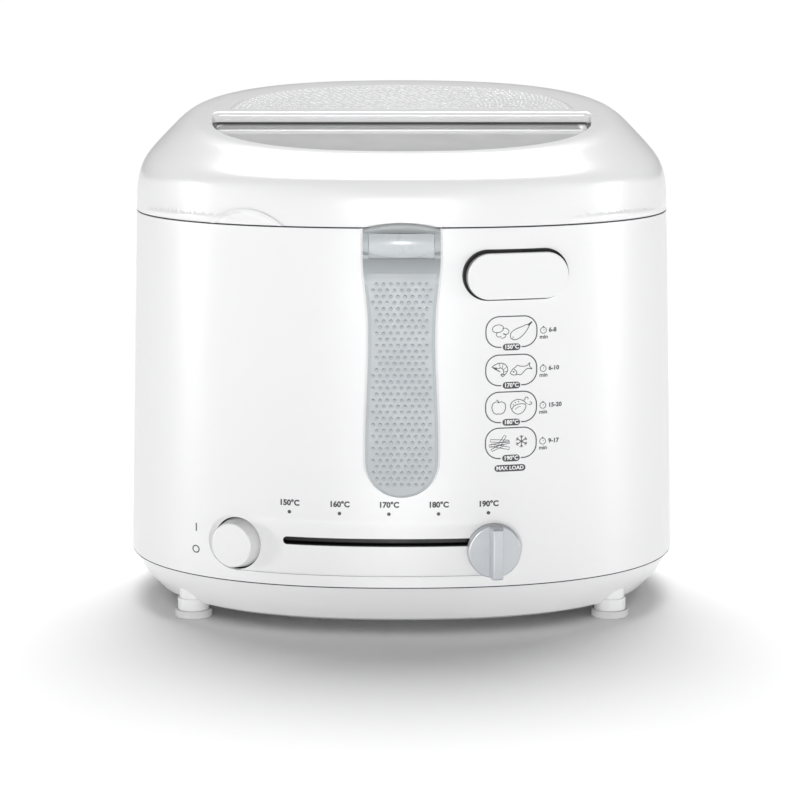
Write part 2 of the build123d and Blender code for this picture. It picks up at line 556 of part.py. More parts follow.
# ---------------------------------------------------------------- push buttons
def make_power_button():
    cone = loft([Pos(0, 0, -BUTTON_SKIRT) * Circle(POWER_R), Pos(0, 0, POWER_PROUD) * Circle(POWER_FACE_R)])
    cone = fillet(cone.edges().group_by(Axis.Z)[-1], 1)
    stem = Pos(0, 0, -BUTTON_SKIRT - BUTTON_STEM_L / 2) * Cylinder(BUTTON_STEM_R, BUTTON_STEM_L)
    return wall_plane(POWER_X, POWER_Z) * (cone + stem)


def make_switch_body():
    top, depth = -SWITCH_FLOOR - 2.2, 20
    block = Pos(0, 0, top - depth / 2) * Box(22, 24, depth)
    block -= Pos(0, 0, top - 7) * Cylinder(BUTTON_STEM_R + 0.3, 18)
    for side in (-1, 1):
        block += Pos(side * 6, 0, top - depth - 4) * Box(0.8, 6, 8)
    return wall_plane(POWER_X, POWER_Z) * block


def make_switch_bracket():
    """Ring that carries the switch and the spring behind the button."""
    ring = Cylinder(17, 13) - Cylinder(14.2, 14)
    ring = Pos(0, 0, -SWITCH_FLOOR - 2 + 6.5) * ring
    floor = Pos(0, 0, -SWITCH_FLOOR - 1) * (Cylinder(16, 2) - Cylinder(BUTTON_STEM_R + 0.4, 4))
    inside = body_solid(BODY_WALL + 0.1, SEAM_Z + 4, POWER_Z + 30)
    return (wall_plane(POWER_X, POWER_Z) * (ring + floor)) & inside


def make_power_spring():
    length = SWITCH_FLOOR - 4 - POWER_TRAVEL - 1.4
    return wall_plane(POWER_X, POWER_Z) * Pos(0, 0, -SWITCH_FLOOR + 0.6) * coil(6, 0.5, length, 4)


def make_lid_release_button():
    """Outer plate with a looped latch arm that reaches round the lid's hook."""
    plate = extrude(release_outline(RELEASE_GAP), amount=RELEASE_PLATE + RELEASE_PROUD)
    plate = Pos(RELEASE_DROP, -RELEASE_DROP, -RELEASE_PLATE) * plate
    plate = fillet(plate.edges().group_by(Axis.Z)[-1], 0.7)
    loop = Box(LOOP_W, LOOP_H, LOOP_DEPTH) - Box(LOOP_W - 2 * LOOP_WALL, LOOP_H + 2, LOOP_DEPTH - LOOP_WALL)
    loop = Pos(0, 4, -LOOP_DEPTH / 2 - RELEASE_PLATE) * loop
    return wall_plane(RELEASE_X, RELEASE_Z) * (plate + loop)


def make_release_spring():
    length = 8
    foot = -RELEASE_PLATE - RELEASE_TRAVEL - length - 0.5
    return wall_plane(RELEASE_X, RELEASE_Z) * Pos(0, -5, foot) * coil(3, 0.4, length, 5)


# ---------------------------------------------------------------- handle and lift linkage
def gear_face(teeth, from_turn, to_turn, phase):
    """Toothed disc outline in Y and Z; teeth only between two angles, counted from phase."""
    pitch_r = GEAR_MODULE * teeth / 2
    root_r, tip_r = pitch_r - 1.2 * GEAR_MODULE, pitch_r + 0.85 * GEAR_MODULE
    step = 360 / teeth
    gear = Circle(root_r)
    flank = ((root_r - 0.3, 0.27), (pitch_r, 0.18), (tip_r, 0.07))   # radius, half width in tooth steps
    outline = [(r, w * step) for r, w in flank] + [(r, -w * step) for r, w in reversed(flank)]
    for i in range(teeth):
        mid = phase + i * step
        if (mid - from_turn) % 360 > to_turn - from_turn:
            continue
        tooth = [(r * cos(radians(mid + w)), r * sin(radians(mid + w))) for r, w in outline]
        gear += make_face(Polyline(*tooth, close=True))
    return gear


def make_basket_handle():
    barrel = barrel_volume(0)
    back_y = STRAP_FRONT_Y + STRAP_T
    neck_z = UNLOCK_LOW_Z - 13
    strap = front_prism(strap_outline(), STRAP_FRONT_Y, back_y)
    strap = fillet(strap.faces().sort_by(Axis.Y)[0].edges(), 1.6)
    strap = strap & box(-30, 30, -150, -100, 0, HANDLE_Z - 4)
    # hollow under the barrel, where the shoulder runs into the strap
    start = (HANDLE_Y - 7.2, HANDLE_Z - 5.8)
    curve = ThreePointArc(start, (STRAP_FRONT_Y - 0.6, UNLOCK_LOW_Z - 5.2), (STRAP_FRONT_Y, neck_z))
    rear = [(back_y, neck_z), (back_y, HANDLE_Z - 6), (HANDLE_Y, HANDLE_Z)]
    rest = Polyline((STRAP_FRONT_Y, neck_z), *rear, start)
    neck = side_prism(make_face(Curve() + [curve, rest]), -25, 25) & front_prism(strap_outline(), -150, -100)
    strap += neck
    handle = barrel + strap
    # gear zone in the middle, slots for the bracket's cheeks beside it
    sector_low, sector_high = MESH_DIRECTION - 12, MESH_DIRECTION + HANDLE_FOLD + 12
    wedge = sector_wedge(sector_low - 10, sector_high + 10, 14)
    gear = gear_face(HANDLE_TEETH, sector_low, sector_high, MESH_DIRECTION)
    gear_part = Pos(0, HANDLE_Y, HANDLE_Z) * side_prism(gear, -GEAR_HALF, GEAR_HALF)
    middle = box(-GEAR_HALF - 0.4, GEAR_HALF + 0.4, -150, -100, 150, 260)
    handle -= (Pos(0, HANDLE_Y, HANDLE_Z) * side_prism(wedge, -GEAR_HALF - 0.4, GEAR_HALF + 0.4)) & middle
    handle += gear_part
    # pocket for the unlock button
    half = UNLOCK_HALF + UNLOCK_GAP
    pocket_y = HANDLE_Y - UNLOCK_BACK + UNLOCK_TRAVEL + 0.4
    handle -= box(-half, half, -150, pocket_y, UNLOCK_LOW_Z - UNLOCK_GAP, UNLOCK_HIGH_Z + UNLOCK_GAP)
    cheek_wedge = sector_wedge(CHEEK_DIRECTION - CHEEK_SLOT_BELOW,
                               CHEEK_DIRECTION + HANDLE_FOLD + CHEEK_SLOT_ABOVE, CHEEK_SLOT_R)
    slot_face = cheek_wedge + Circle(CHEEK_HUB + 0.4)
    for side in (-1, 1):
        lo, hi = sorted((side * (CHEEK_IN - 0.35), side * (CHEEK_OUT + 0.35)))
        handle -= Pos(0, HANDLE_Y, HANDLE_Z) * side_prism(slot_face, lo, hi)
    handle -= rod(PIN_R + PIN_FIT, -18, 18, HANDLE_Y, HANDLE_Z)
    return handle


def sector_wedge(low, high, radius):
    """Pie slice from the origin between two angles in the YZ plane."""
    steps = 4
    points = [(0, 0)]
    for i in range(steps + 1):
        t = radians(low + (high - low) * i / steps)
        points.append((radius * cos(t), radius * sin(t)))
    return make_face(Polyline(*points, close=True))


def make_handle_button():
    room = box(-UNLOCK_HALF, UNLOCK_HALF, -150, HANDLE_Y - UNLOCK_BACK, UNLOCK_LOW_Z, UNLOCK_HIGH_Z)
    return barrel_volume(0) & room


def make_handle_pin():
    return rod(PIN_R, -17.6, 17.6, HANDLE_Y, HANDLE_Z)


def make_rocker_pin():
    return rod(ROCKER_PIN_R, -11, 11, ROCKER_Y, ROCKER_Z)


def make_lift_rocker():
    """Toothed sector driven by the handle, with a long arm into the bowl."""
    mesh = MESH_DIRECTION + 180
    low, high = mesh - ROCKER_SWING - 12, mesh + 12
    half_step = 180 / ROCKER_TEETH
    gear = gear_face(ROCKER_TEETH, low, high, mesh + half_step)
    keep = sector_wedge(low - 4, high + 4, 20) + Circle(5)
    gear = gear & keep
    arm = Pos(ROCKER_ARM / 2, 0) * Rectangle(ROCKER_ARM, 5) + Pos(ROCKER_ARM, 0) * Circle(3.2) + Circle(5)
    rocker = side_prism(gear, -GEAR_HALF, GEAR_HALF)
    rocker += Rot(TIP_LOW, 0, 0) * side_prism(arm, -GEAR_HALF, GEAR_HALF)
    rocker = Pos(0, ROCKER_Y, ROCKER_Z) * rocker
    rocker -= rod(ROCKER_PIN_R + PIN_FIT, -10, 10, ROCKER_Y, ROCKER_Z)
    rocker += rod(ROCKER_TIP_R, -9.5, 9.5, TIP_Y, TIP_Z)
    return rocker


def make_handle_bracket():
    """Two cheeks that hang the handle and the rocker on the collar."""
    hub = Pos(HANDLE_Y, HANDLE_Z) * Circle(CHEEK_HUB)
    t = radians(CHEEK_DIRECTION)
    link = Polyline((HANDLE_Y + 3.2 * cos(t + pi / 2), HANDLE_Z + 3.2 * sin(t + pi / 2)),
                    (HANDLE_Y - 3.2 * cos(t + pi / 2), HANDLE_Z - 3.2 * sin(t + pi / 2)),
                    (-117, 190), (-104, 190), (-104, 200), (-113, 199), close=True)
    cheek = hub + make_face(link) + Pos(ROCKER_Y, ROCKER_Z) * Circle(5.5)
    plates = side_prism(cheek, CHEEK_IN, CHEEK_OUT) + side_prism(cheek, -CHEEK_OUT, -CHEEK_IN)
    base = box(-CHEEK_OUT, CHEEK_OUT, -116.5, -104, 184, 186.5)
    legs = box(CHEEK_IN, CHEEK_OUT, -116, -104, 184, 191) + box(-CHEEK_OUT, -CHEEK_IN, -116, -104, 184, 191)
    bracket = plates + base + legs
    bracket -= rod(PIN_R, -20, 20, HANDLE_Y, HANDLE_Z)
    bracket -= rod(ROCKER_PIN_R, -20, 20, ROCKER_Y, ROCKER_Z)
    return bracket


# ---------------------------------------------------------------- basket
def ring_wire(a, b, z, radius):
    path = oval_face(a, b, z, BASKET_Y).outer_wire()
    section = Plane(origin=path @ 0, z_dir=path % 0) * Circle(radius)
    return sweep(section, path=path)


def basket_solid(inset, z0, z1):
    t0 = (z0 - BASKET_BOTTOM_Z) / (BASKET_TOP_Z - BASKET_BOTTOM_Z)
    t1 = (z1 - BASKET_BOTTOM_Z) / (BASKET_TOP_Z - BASKET_BOTTOM_Z)

    def axes(t):
        a = BASKET_BOTTOM_A + (BASKET_A - BASKET_BOTTOM_A) * t - inset
        b = BASKET_BOTTOM_B + (BASKET_B - BASKET_BOTTOM_B) * t - inset
        return a, b

    return oval_solid([(*axes(t0), z0, BASKET_Y), (*axes(t1), z1, BASKET_Y)])


def make_basket_mesh():
    return basket_solid(0, BASKET_BOTTOM_Z, BASKET_TOP_Z) - basket_solid(
        BASKET_SHEET, BASKET_BOTTOM_Z + BASKET_SHEET, BASKET_TOP_Z + 1)


def make_basket_frame():
    frame = ring_wire(BASKET_A + RING_R - 0.2, BASKET_B + RING_R - 0.2, BASKET_TOP_Z, RING_R)
    frame += ring_wire(BASKET_BOTTOM_A + 0.8, BASKET_BOTTOM_B + 0.8, BASKET_BOTTOM_Z + 1, 1.2)
    return frame


def make_basket_bracket():
    """Pair of slotted cheeks on the basket's front; the rocker's tip runs in the slots."""
    slot_h = 2 * ROCKER_TIP_R + 1.4
    y0, y1 = TIP_Y - 4.6, BASKET_Y - BASKET_B + 1
    tip_far = ROCKER_Y + ROCKER_ARM
    cheek = box(5.2, 7.2, y0, y1, TIP_Z - 6.5, TIP_Z + 5.5)
    slot_mid = (TIP_Y + tip_far) / 2
    slot = Pos(slot_mid, TIP_Z) * SlotOverall(tip_far - TIP_Y + slot_h + 1.6, slot_h)
    cheek -= side_prism(slot, 4, 9)
    bracket = mirrored(cheek)
    front = BASKET_Y - BASKET_B
    bracket += box(-7.2, 7.2, front - 0.6, front + 1.2, BASKET_TOP_Z + 1.5, TIP_Z + 5.5)
    bracket += box(-14, 14, front - 3.9, front - 2.4, BASKET_TOP_Z - 22, BASKET_TOP_Z + 4)
    bracket += box(-14, 14, front - 3.9, front + 1.2, BASKET_TOP_Z + 2.5, BASKET_TOP_Z + 4)
    return bracket


# ---------------------------------------------------------------- lid
def lid_volume(inset, low):
    """The lid's outline as a solid, drawn in by inset, from its lower edge to the sloping top."""
    sections = [(RIM_A - inset, RIM_B - inset, low)]
    for a, z, tilt, across, down in LID_PROFILE:
        share = max(0, (CREASE_A - a) / (CREASE_A - TOP_A))
        b = CREASE_B + (TOP_B - CREASE_B) * share + max(0, a - CREASE_A)
        power = OVAL_POWER + (LID_POWER - OVAL_POWER) * min(1, (RIM_A - a) / (RIM_A - CREASE_A))
        a, b, z = a - inset * across, b - inset * across, z - inset * down
        sections.append((a, b, z, TOP_Y * share, tilt, power))
    return oval_solid(sections)


def lid_layer(outside, inside):
    """Layer of the lid's wall between two depths."""
    return lid_volume(outside, LID_LOW_Z) - lid_volume(inside, LID_LOW_Z - 1)


def top_plane(height=0):
    """Plane parallel to the sloping top of the lid, at a height above it."""
    plane = Plane(origin=(0, 0, LID_TOP_Z), x_dir=(1, 0, 0),
                  z_dir=(0, -sin(radians(LID_TILT)), cos(radians(LID_TILT))))
    return plane * Pos(0, 0, height)


def top_prism(outline, depth, above=12):
    """Extrude an outline drawn on the sloping top plane down by depth."""
    return top_plane(-depth) * extrude(outline, amount=depth + above)


def top_outline(grow, y0, y1):
    """Piece of the top oval between two depths, in the plane of the top."""
    slope = cos(radians(LID_TILT))
    face = oval_face(TOP_A + grow, TOP_B + grow, 0, TOP_Y / slope, 0, LID_POWER)
    strip = Pos(0, (y0 + y1) / 2) * Rectangle(400, y1 - y0)
    return Sketch() + face & strip


def window_outline(grow):
    outline = top_outline(grow - WINDOW_MARGIN, -120, WINDOW_BACK_Y + grow)
    return fillet(outline.vertices(), max(WINDOW_CORNER + grow, WINDOW_CORNER_LEAST))


def window_lip():
    """Material removed above the window's rim to round it."""
    sections = [top_plane(WINDOW_LIP) * window_outline(WINDOW_LIP).face()]
    for share in (0, 0.12, 0.45, 1):
        grow = WINDOW_LIP * (1 - sqrt(1 - (1 - share) ** 2))
        sections.append(top_plane(-WINDOW_LIP * share) * window_outline(grow).face())
    return loft(sections)


def vent_outline(grow):
    return top_outline(grow - VENT_INSET - 6, VENT_FRONT_Y - grow, 120)


def arch_prism(grow):
    arc = ThreePointArc((ARCH_HALF + grow, -2), (0, ARCH_H + grow), (-ARCH_HALF - grow, -2))
    base = Line((-ARCH_HALF - grow, -2), (ARCH_HALF + grow, -2))
    plane = wall_plane(ARCH_X, RIM_Z)
    return plane * Pos(0, 0, -12) * extrude(make_face(Curve() + [arc, base]), amount=24)


def make_lid_shell():
    outer = lid_volume(0, LID_LOW_Z)
    inner = lid_volume(LID_WALL, LID_LOW_Z - 0.01)
    well, ledge = 2, 4
    lid = outer - inner
    # window well with a ledge under the pane
    depth = WINDOW_DEPTH + PANE_T
    lid += top_prism(window_outline(well), depth + 2, 0) & outer
    lid -= top_prism(window_outline(0), depth)
    lid -= window_lip()
    lid -= top_prism(window_outline(-ledge), depth + 8)
    # rebate that holds the vent panel
    lid += top_prism(vent_outline(2), VENT_T + 2, 0) & outer
    lid -= top_prism(vent_outline(0), VENT_T)
    lid -= top_prism(vent_outline(-4), VENT_T + 8)
    # room for the handle's barrel and its gear
    lid -= barrel_volume(RELIEF)
    # arched finger lip
    lid += (arch_prism(0) - arch_prism(-ARCH_LIP)) & lid_layer(-ARCH_PROUD, 1)
    lid -= arch_prism(-ARCH_LIP) & lid_layer(-1, ARCH_SUNK)
    room = lid_volume(LID_WALL - 0.3, LID_LOW_Z - 0.01)
    for x, y in four(LID_POST_X, LID_POST_Y):
        boss = post(LID_POST_R, x, y, INNER_LID_Z + INNER_LID_T, LID_TOP_Z + 15) & room
        lid += boss - post(LID_SCREW_R + 0.05, x, y, INNER_LID_Z, INNER_LID_Z + LID_SCREW_L + 1)
    return lid


def make_window_pane():
    pane = top_prism(window_outline(-0.25), WINDOW_DEPTH + PANE_T, 0)
    return pane - top_prism(window_outline(2), WINDOW_DEPTH)


def make_window_seal():
    seal = top_prism(window_outline(-0.25), WINDOW_DEPTH, 0)
    seal -= top_prism(window_outline(-2.2), WINDOW_DEPTH + 1, 14)
    return seal - top_prism(window_outline(2), WINDOW_DEPTH - 0.8)


def make_vent_panel():
    panel = top_prism(vent_outline(-0.15), VENT_T - 0.05, 0)
    slits = []
    half_count = ceil(VENT_REACH_X / VENT_PITCH_X)
    for j in range(VENT_ROWS):
        for i in range(-half_count, half_count + 1):
            x = (i + 0.5 * (j % 2)) * VENT_PITCH_X
            y = VENT_FIRST_Y + j * VENT_PITCH_Y
            if (x / VENT_REACH_X) ** 2 + ((y - VENT_CENTRE_Y) / VENT_REACH_Y) ** 2 < 1:
                slits.append(Pos(x, y) * SlotOverall(VENT_SLIT_L, VENT_SLIT_W))
    return panel - top_prism(Sketch() + slits, VENT_T + 4, 4)


def make_inner_lid():
    below, above = INNER_LID_Z - 5, INNER_LID_Z + 5
    sheet = oval_block(INNER_LID_A, INNER_LID_B, INNER_LID_Z, INNER_LID_Z + INNER_LID_T)
    sheet += oval_ring(SEAL_A, SEAL_B, SEAL_T, RIM_Z + 1, INNER_LID_Z + 0.5)
    window_a, window_b, window_back = 96, 82, -4
    window = oval_block(window_a, window_b, below, above)
    sheet -= window & box(-window_a, window_a, -window_b, window_back, below, above)
    for j in range(STEAM_ROWS):
        for i in range(-7, 8):
            x = (i + 0.5 * (j % 2)) * STEAM_PITCH_X
            sheet -= post(STEAM_HOLE_R, x, STEAM_FIRST_Y + STEAM_PITCH_Y * j, below, above)
    for x, y in four(LID_POST_X, LID_POST_Y):
        sheet -= post(LID_SCREW_R + 0.35, x, y, below, above)
    return sheet


def make_lid_gasket():
    low = COLLAR_TOP_Z + 0.4
    ring = oval_ring(SEAL_A + 1.5, SEAL_B + 1.5, SEAL_T + 3, low, low + 4.5)
    return ring - oval_ring(SEAL_A + 0.05, SEAL_B + 0.05, SEAL_T + 0.1, RIM_Z + 1, low + 6)


def make_lid_screws():
    screws = []
    for x, y in four(LID_POST_X, LID_POST_Y):
        shank = post(LID_SCREW_R, x, y, INNER_LID_Z - 1, INNER_LID_Z + LID_SCREW_L)
        screws.append(shank + post(SCREW_HEAD_R, x, y, INNER_LID_Z - 2.2, INNER_LID_Z))
    return screws


def filter_block(inset, low, high):
    half = FILTER_HALF - inset
    return box(-half, half, FILTER_FRONT_Y + inset, FILTER_BACK_Y - inset, low, high)


def make_filter_tray():
    low = INNER_LID_Z + INNER_LID_T
    tray = filter_block(0, low, low + FILTER_H) - filter_block(FILTER_WALL, low - 1, low + FILTER_H + 1)
    for i in range(-6, 7):
        x = i * FILTER_BAR_PITCH
        tray += box(x - 0.8, x + 0.8, FILTER_FRONT_Y, FILTER_BACK_Y, low, low + FILTER_WALL)
    return tray


def make_grease_filter():
    low = INNER_LID_Z + INNER_LID_T + FILTER_WALL
    return filter_block(FILTER_WALL + 0.4, low, low + FILTER_PAD_H)


def make_lid_hook():
    blade = Pos(0, (INNER_LID_Z + 194) / 2 - RELEASE_Z, -9.2) * Box(14, INNER_LID_Z - 194, 2.5)
    nose = Pos(0, 194 + 1.5 - RELEASE_Z, -12.2) * Box(14, 3, 8)
    foot = Pos(0, INNER_LID_Z - 1 - RELEASE_Z, -12) * Box(18, 2, 9)
    return wall_plane(RELEASE_X, RELEASE_Z) * (blade + nose + foot)


# ---------------------------------------------------------------- lid hinge
def make_hinge_bracket():
    """Housing on the rear wall with three fixed knuckles."""
    block = box(-45.6, 45.6, 114.5, REACH, HINGE_HOUSING_LOW + 0.4, HINGE_Z - HINGE_R - 1)
    block = fillet(block.edges().filter_by(Axis.Z).group_by(Axis.Y)[-1], 7)
    block -= box(-40, 40, 114, REACH - 3, HINGE_HOUSING_LOW - 1, HINGE_Z - HINGE_R - 4)
    for x0, x1 in FIXED_KNUCKLES:
        block += rod(HINGE_R, x0, x1, HINGE_Y, HINGE_Z)
        block += box(x0, x1, HINGE_Y - HINGE_R, HINGE_Y + HINGE_R, HINGE_Z - HINGE_R - 2, HINGE_Z)
    block -= rod(HINGE_PIN_R, -50, 50, HINGE_Y, HINGE_Z)
    return block


def make_hinge_pin():
    return rod(HINGE_PIN_R, -44.8, 44.8, HINGE_Y, HINGE_Z)


def make_lid_hinge_arms():
    """Two arms screwed to the rear of the lid; each ends in a knuckle."""
    arms = []
    skin = lid_volume(0, LID_LOW_Z) + oval_block(RIM_A, RIM_B, LID_LOW_Z - 6, LID_LOW_Z + 0.1)
    for side in (-1, 1):
        x0, x1 = sorted((side * ARM_IN, side * ARM_OUT))
        arm = rod(HINGE_R, x0, x1, HINGE_Y, HINGE_Z)
        arm += box(x0, x1, 112, 123.5, LID_LOW_Z + 0.5, 231)
        arm += box(x0, x1, 119, HINGE_Y + 3, LID_LOW_Z + 0.5, HINGE_Z + HINGE_R + 1)
        arm -= skin
        arm -= rod(HINGE_PIN_R + PIN_FIT, x0 - 1, x1 + 1, HINGE_Y, HINGE_Z)
        arms.append(arm.solids().sort_by(Axis.Y)[-1])
    return arms


def make_lid_springs():
    return [Pos(x, HINGE_Y, HINGE_Z) * Rot(0, 90, 0) * coil(3.6, 0.5, 8, 5) for x in (-17, 8.5)]


def make_cord_gland():
    out = Pos(0, half_axes(GLAND_Z)[1], GLAND_Z) * Rot(-90, 0, 0)
    upright = (Align.CENTER, Align.CENTER, Align.MIN)
    gland = out * Pos(0, 0, -8) * Cylinder(GLAND_R - 0.1, 14, align=upright)
    gland += out * Pos(0, 0, 0.5) * Cylinder(GLAND_R + 3, 3, align=upright)
    gland -= out * Cylinder(GLAND_BORE, 60)
    return gland


def make_terminal_block():
    low = PAN_BOTTOM_Z + PAN_WALL
    block = box(-20, 20, TERMINAL_Y - 8, TERMINAL_Y + 8, low, low + 16)
    for x in (-TERMINAL_PITCH, 0, TERMINAL_PITCH):
        block -= post(TERMINAL_R, x, TERMINAL_Y, low + 11, low + 20)
        block -= Pos(x, TERMINAL_Y, low + 11) * Rot(90, 0, 0) * Cylinder(2, 30)
    return block


NODES = {
    "body_shell": make_body_shell,
    "base_pan": make_base_pan,
    "foot_pads": make_foot_pads,
    "base_screws": make_base_screws,
    "top_collar": make_top_collar,
    "oil_bowl": make_oil_bowl,
    "collar_screws": make_collar_screws,
    "element_plate": make_element_plate,
    "heating_element": make_heating_element,
    "heat_shield": make_heat_shield,
    "shield_posts": make_shield_posts,
    "thermostat_body": make_thermostat_body,
    "thermostat_sensor": make_thermostat_sensor,
    "thermal_fuse": make_thermal_fuse,
    "thermostat_lever": make_thermostat_lever,
    "slider_track": make_slider_track,
    "slider_carriage": make_slider_carriage,
    "temperature_knob": make_temperature_knob,
    "power_button": make_power_button,
    "switch_body": make_switch_body,
    "switch_bracket": make_switch_bracket,
    "power_button_spring": make_power_spring,
    "lid_release_button": make_lid_release_button,
    "release_spring": make_release_spring,
    "basket_handle": make_basket_handle,
    "handle_button": make_handle_button,
    "handle_pin": make_handle_pin,
    "rocker_pin": make_rocker_pin,
    "lift_rocker": make_lift_rocker,
    "handle_bracket": make_handle_bracket,
    "basket_mesh": make_basket_mesh,
    "basket_frame": make_basket_frame,
    "basket_bracket": make_basket_bracket,
    "lid_shell": make_lid_shell,
    "window_pane": make_window_pane,
    "window_seal": make_window_seal,
    "vent_panel": make_vent_panel,
    "inner_lid": make_inner_lid,
    "lid_gasket": make_lid_gasket,
    "lid_screws": make_lid_screws,
    "filter_tray": make_filter_tray,
    "grease_filter": make_grease_filter,
    "lid_hook": make_lid_hook,
    "hinge_bracket": make_hinge_bracket,
    "hinge_pin": make_hinge_pin,
    "lid_hinge_arms": make_lid_hinge_arms,
    "lid_springs": make_lid_springs,
    "cord_gland": make_cord_gland,
    "terminal_block": make_terminal_block,
}


def main():
    os.makedirs("parts", exist_ok=True)
    for name, make in NODES.items():
        shape = make()
        if isinstance(shape, list):
            shape = Compound(children=[solid for item in shape for solid in item.solids()])
        export_step(shape, f"parts/{name}.step")


main()
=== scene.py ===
import math

import bpy
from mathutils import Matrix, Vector
from mathutils.bvhtree import BVHTree
from mathutils.interpolate import poly_3d_calc


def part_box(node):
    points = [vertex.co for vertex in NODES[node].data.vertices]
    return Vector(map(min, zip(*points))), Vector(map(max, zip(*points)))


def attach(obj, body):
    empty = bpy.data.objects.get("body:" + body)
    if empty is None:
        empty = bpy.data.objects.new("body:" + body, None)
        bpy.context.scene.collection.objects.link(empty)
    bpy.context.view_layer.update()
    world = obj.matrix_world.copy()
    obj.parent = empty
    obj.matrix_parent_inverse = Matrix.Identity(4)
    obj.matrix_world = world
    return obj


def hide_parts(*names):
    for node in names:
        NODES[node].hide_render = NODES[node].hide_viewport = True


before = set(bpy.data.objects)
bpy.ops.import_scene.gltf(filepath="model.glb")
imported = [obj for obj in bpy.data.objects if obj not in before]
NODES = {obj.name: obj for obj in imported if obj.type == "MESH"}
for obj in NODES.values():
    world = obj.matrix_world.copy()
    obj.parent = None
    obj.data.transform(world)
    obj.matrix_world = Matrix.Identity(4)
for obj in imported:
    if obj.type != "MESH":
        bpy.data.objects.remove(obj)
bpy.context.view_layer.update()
MM = 0.001

# ------------------------------------------------------------------ materials


def new_material(name):
    material = bpy.data.materials.new(name)
    material.use_nodes = True
    tree = material.node_tree
    shader = tree.nodes["Principled BSDF"]
    return material, tree, shader


def noise(tree, scale, detail=3.0, stretch=(1, 1, 1)):
    """Noise in the object's own metres; stretch squeezes it along an axis."""
    where = tree.nodes.new("ShaderNodeTexCoord")
    mapping = tree.nodes.new("ShaderNodeMapping")
    mapping.inputs["Scale"].default_value = stretch
    texture = tree.nodes.new("ShaderNodeTexNoise")
    texture.inputs["Scale"].default_value = scale
    texture.inputs["Detail"].default_value = detail
    tree.links.new(where.outputs["Object"], mapping.inputs["Vector"])
    tree.links.new(mapping.outputs["Vector"], texture.inputs["Vector"])
    return texture.outputs["Fac"]


def ramp(tree, value, low, high, positions=(0.35, 0.65)):
    """Colour ramp between two colours over the middle of a noise's range."""
    node = tree.nodes.new("ShaderNodeValToRGB")
    for element, place, colour in zip(node.color_ramp.elements, positions, (low, high)):
        element.position = place
        element.color = (*colour, 1)
    tree.links.new(value, node.inputs["Fac"])
    return node.outputs["Color"]


def add_bump(tree, shader, height, distance, strength):
    bump = tree.nodes.new("ShaderNodeBump")
    bump.inputs["Distance"].default_value = distance
    bump.inputs["Strength"].default_value = strength
    tree.links.new(height, bump.inputs["Height"])
    tree.links.new(bump.outputs["Normal"], shader.inputs["Normal"])


def tint(colour, factor):
    return tuple(min(1.0, c * factor) for c in colour)


def moulded(name, colour, rough, rough_spread=0.05, grain=900, grain_depth=0.00002, grain_strength=0.25,
            coat=0.0, variation=0.02, metallic=0.0):
    """Moulded plastic or paint: faint mottling, uneven gloss and the fine skin of the mould."""
    material, tree, shader = new_material(name)
    mottle = noise(tree, 35, 4)
    tree.links.new(ramp(tree, mottle, tint(colour, 1 - variation), tint(colour, 1 + variation)),
                   shader.inputs["Base Color"])
    wear = noise(tree, 120, 5)
    low, high = rough - rough_spread, rough + rough_spread
    tree.links.new(ramp(tree, wear, (low,) * 3, (high,) * 3), shader.inputs["Roughness"])
    shader.inputs["Metallic"].default_value = metallic
    shader.inputs["Coat Weight"].default_value = coat
    shader.inputs["Coat Roughness"].default_value = 0.12
    add_bump(tree, shader, noise(tree, grain, 2), grain_depth, grain_strength)
    return material


def toned(name, colour, rough):
    """Handle plastic with painted shade: darker in the hollow under the button and on the cap over the pivot.
    """
    material = moulded(name, colour, rough, grain=1400, grain_strength=0.35)
    tree = material.node_tree
    shader = tree.nodes["Principled BSDF"]
    where = tree.nodes.new("ShaderNodeTexCoord")
    split = tree.nodes.new("ShaderNodeSeparateXYZ")
    height = tree.nodes.new("ShaderNodeMapRange")
    height.inputs["From Min"].default_value = 0.180
    height.inputs["From Max"].default_value = 0.220
    tree.links.new(where.outputs["Object"], split.inputs["Vector"])
    tree.links.new(split.outputs["Z"], height.inputs["Value"])
    node = tree.nodes.new("ShaderNodeValToRGB")
    # painted shade: the ramp darkens the hollow under the button from 188 to 201 mm high and the cap over the
    # pivot above 213 mm
    shade_stops = ((0.20, 1.0), (0.26, 0.86), (0.50, 0.62), (0.52, 1.0), (0.815, 1.0), (0.83, 0.66))
    while len(node.color_ramp.elements) < len(shade_stops):
        node.color_ramp.elements.new(0.5)
    for element, (place, shade_factor) in zip(node.color_ramp.elements, shade_stops):
        element.position = place
        element.color = (shade_factor, shade_factor, shade_factor, 1)
    tree.links.new(height.outputs["Result"], node.inputs["Fac"])
    mix = tree.nodes.new("ShaderNodeMix")
    mix.data_type = "RGBA"
    mix.blend_type = "MULTIPLY"
    mix.inputs["Factor"].default_value = 1
    plain = shader.inputs["Base Color"].links[0].from_socket
    tree.links.new(plain, mix.inputs[6])
    tree.links.new(node.outputs["Color"], mix.inputs[7])
    tree.links.new(mix.outputs[2], shader.inputs["Base Color"])
    return material


def brushed(name, colour, rough, stretch=(1, 30, 30), scale=60, metallic=1.0):
    """Drawn or brushed metal: streaks along one axis."""
    material, tree, shader = new_material(name)
    streaks = noise(tree, scale, 6, stretch)
    tree.links.new(ramp(tree, streaks, tint(colour, 0.88), tint(colour, 1.08)), shader.inputs["Base Color"])
    tree.links.new(ramp(tree, streaks, (rough - 0.08,) * 3, (rough + 0.1,) * 3), shader.inputs["Roughness"])
    shader.inputs["Metallic"].default_value = metallic
    add_bump(tree, shader, streaks, 0.00005, 0.2)
    return material


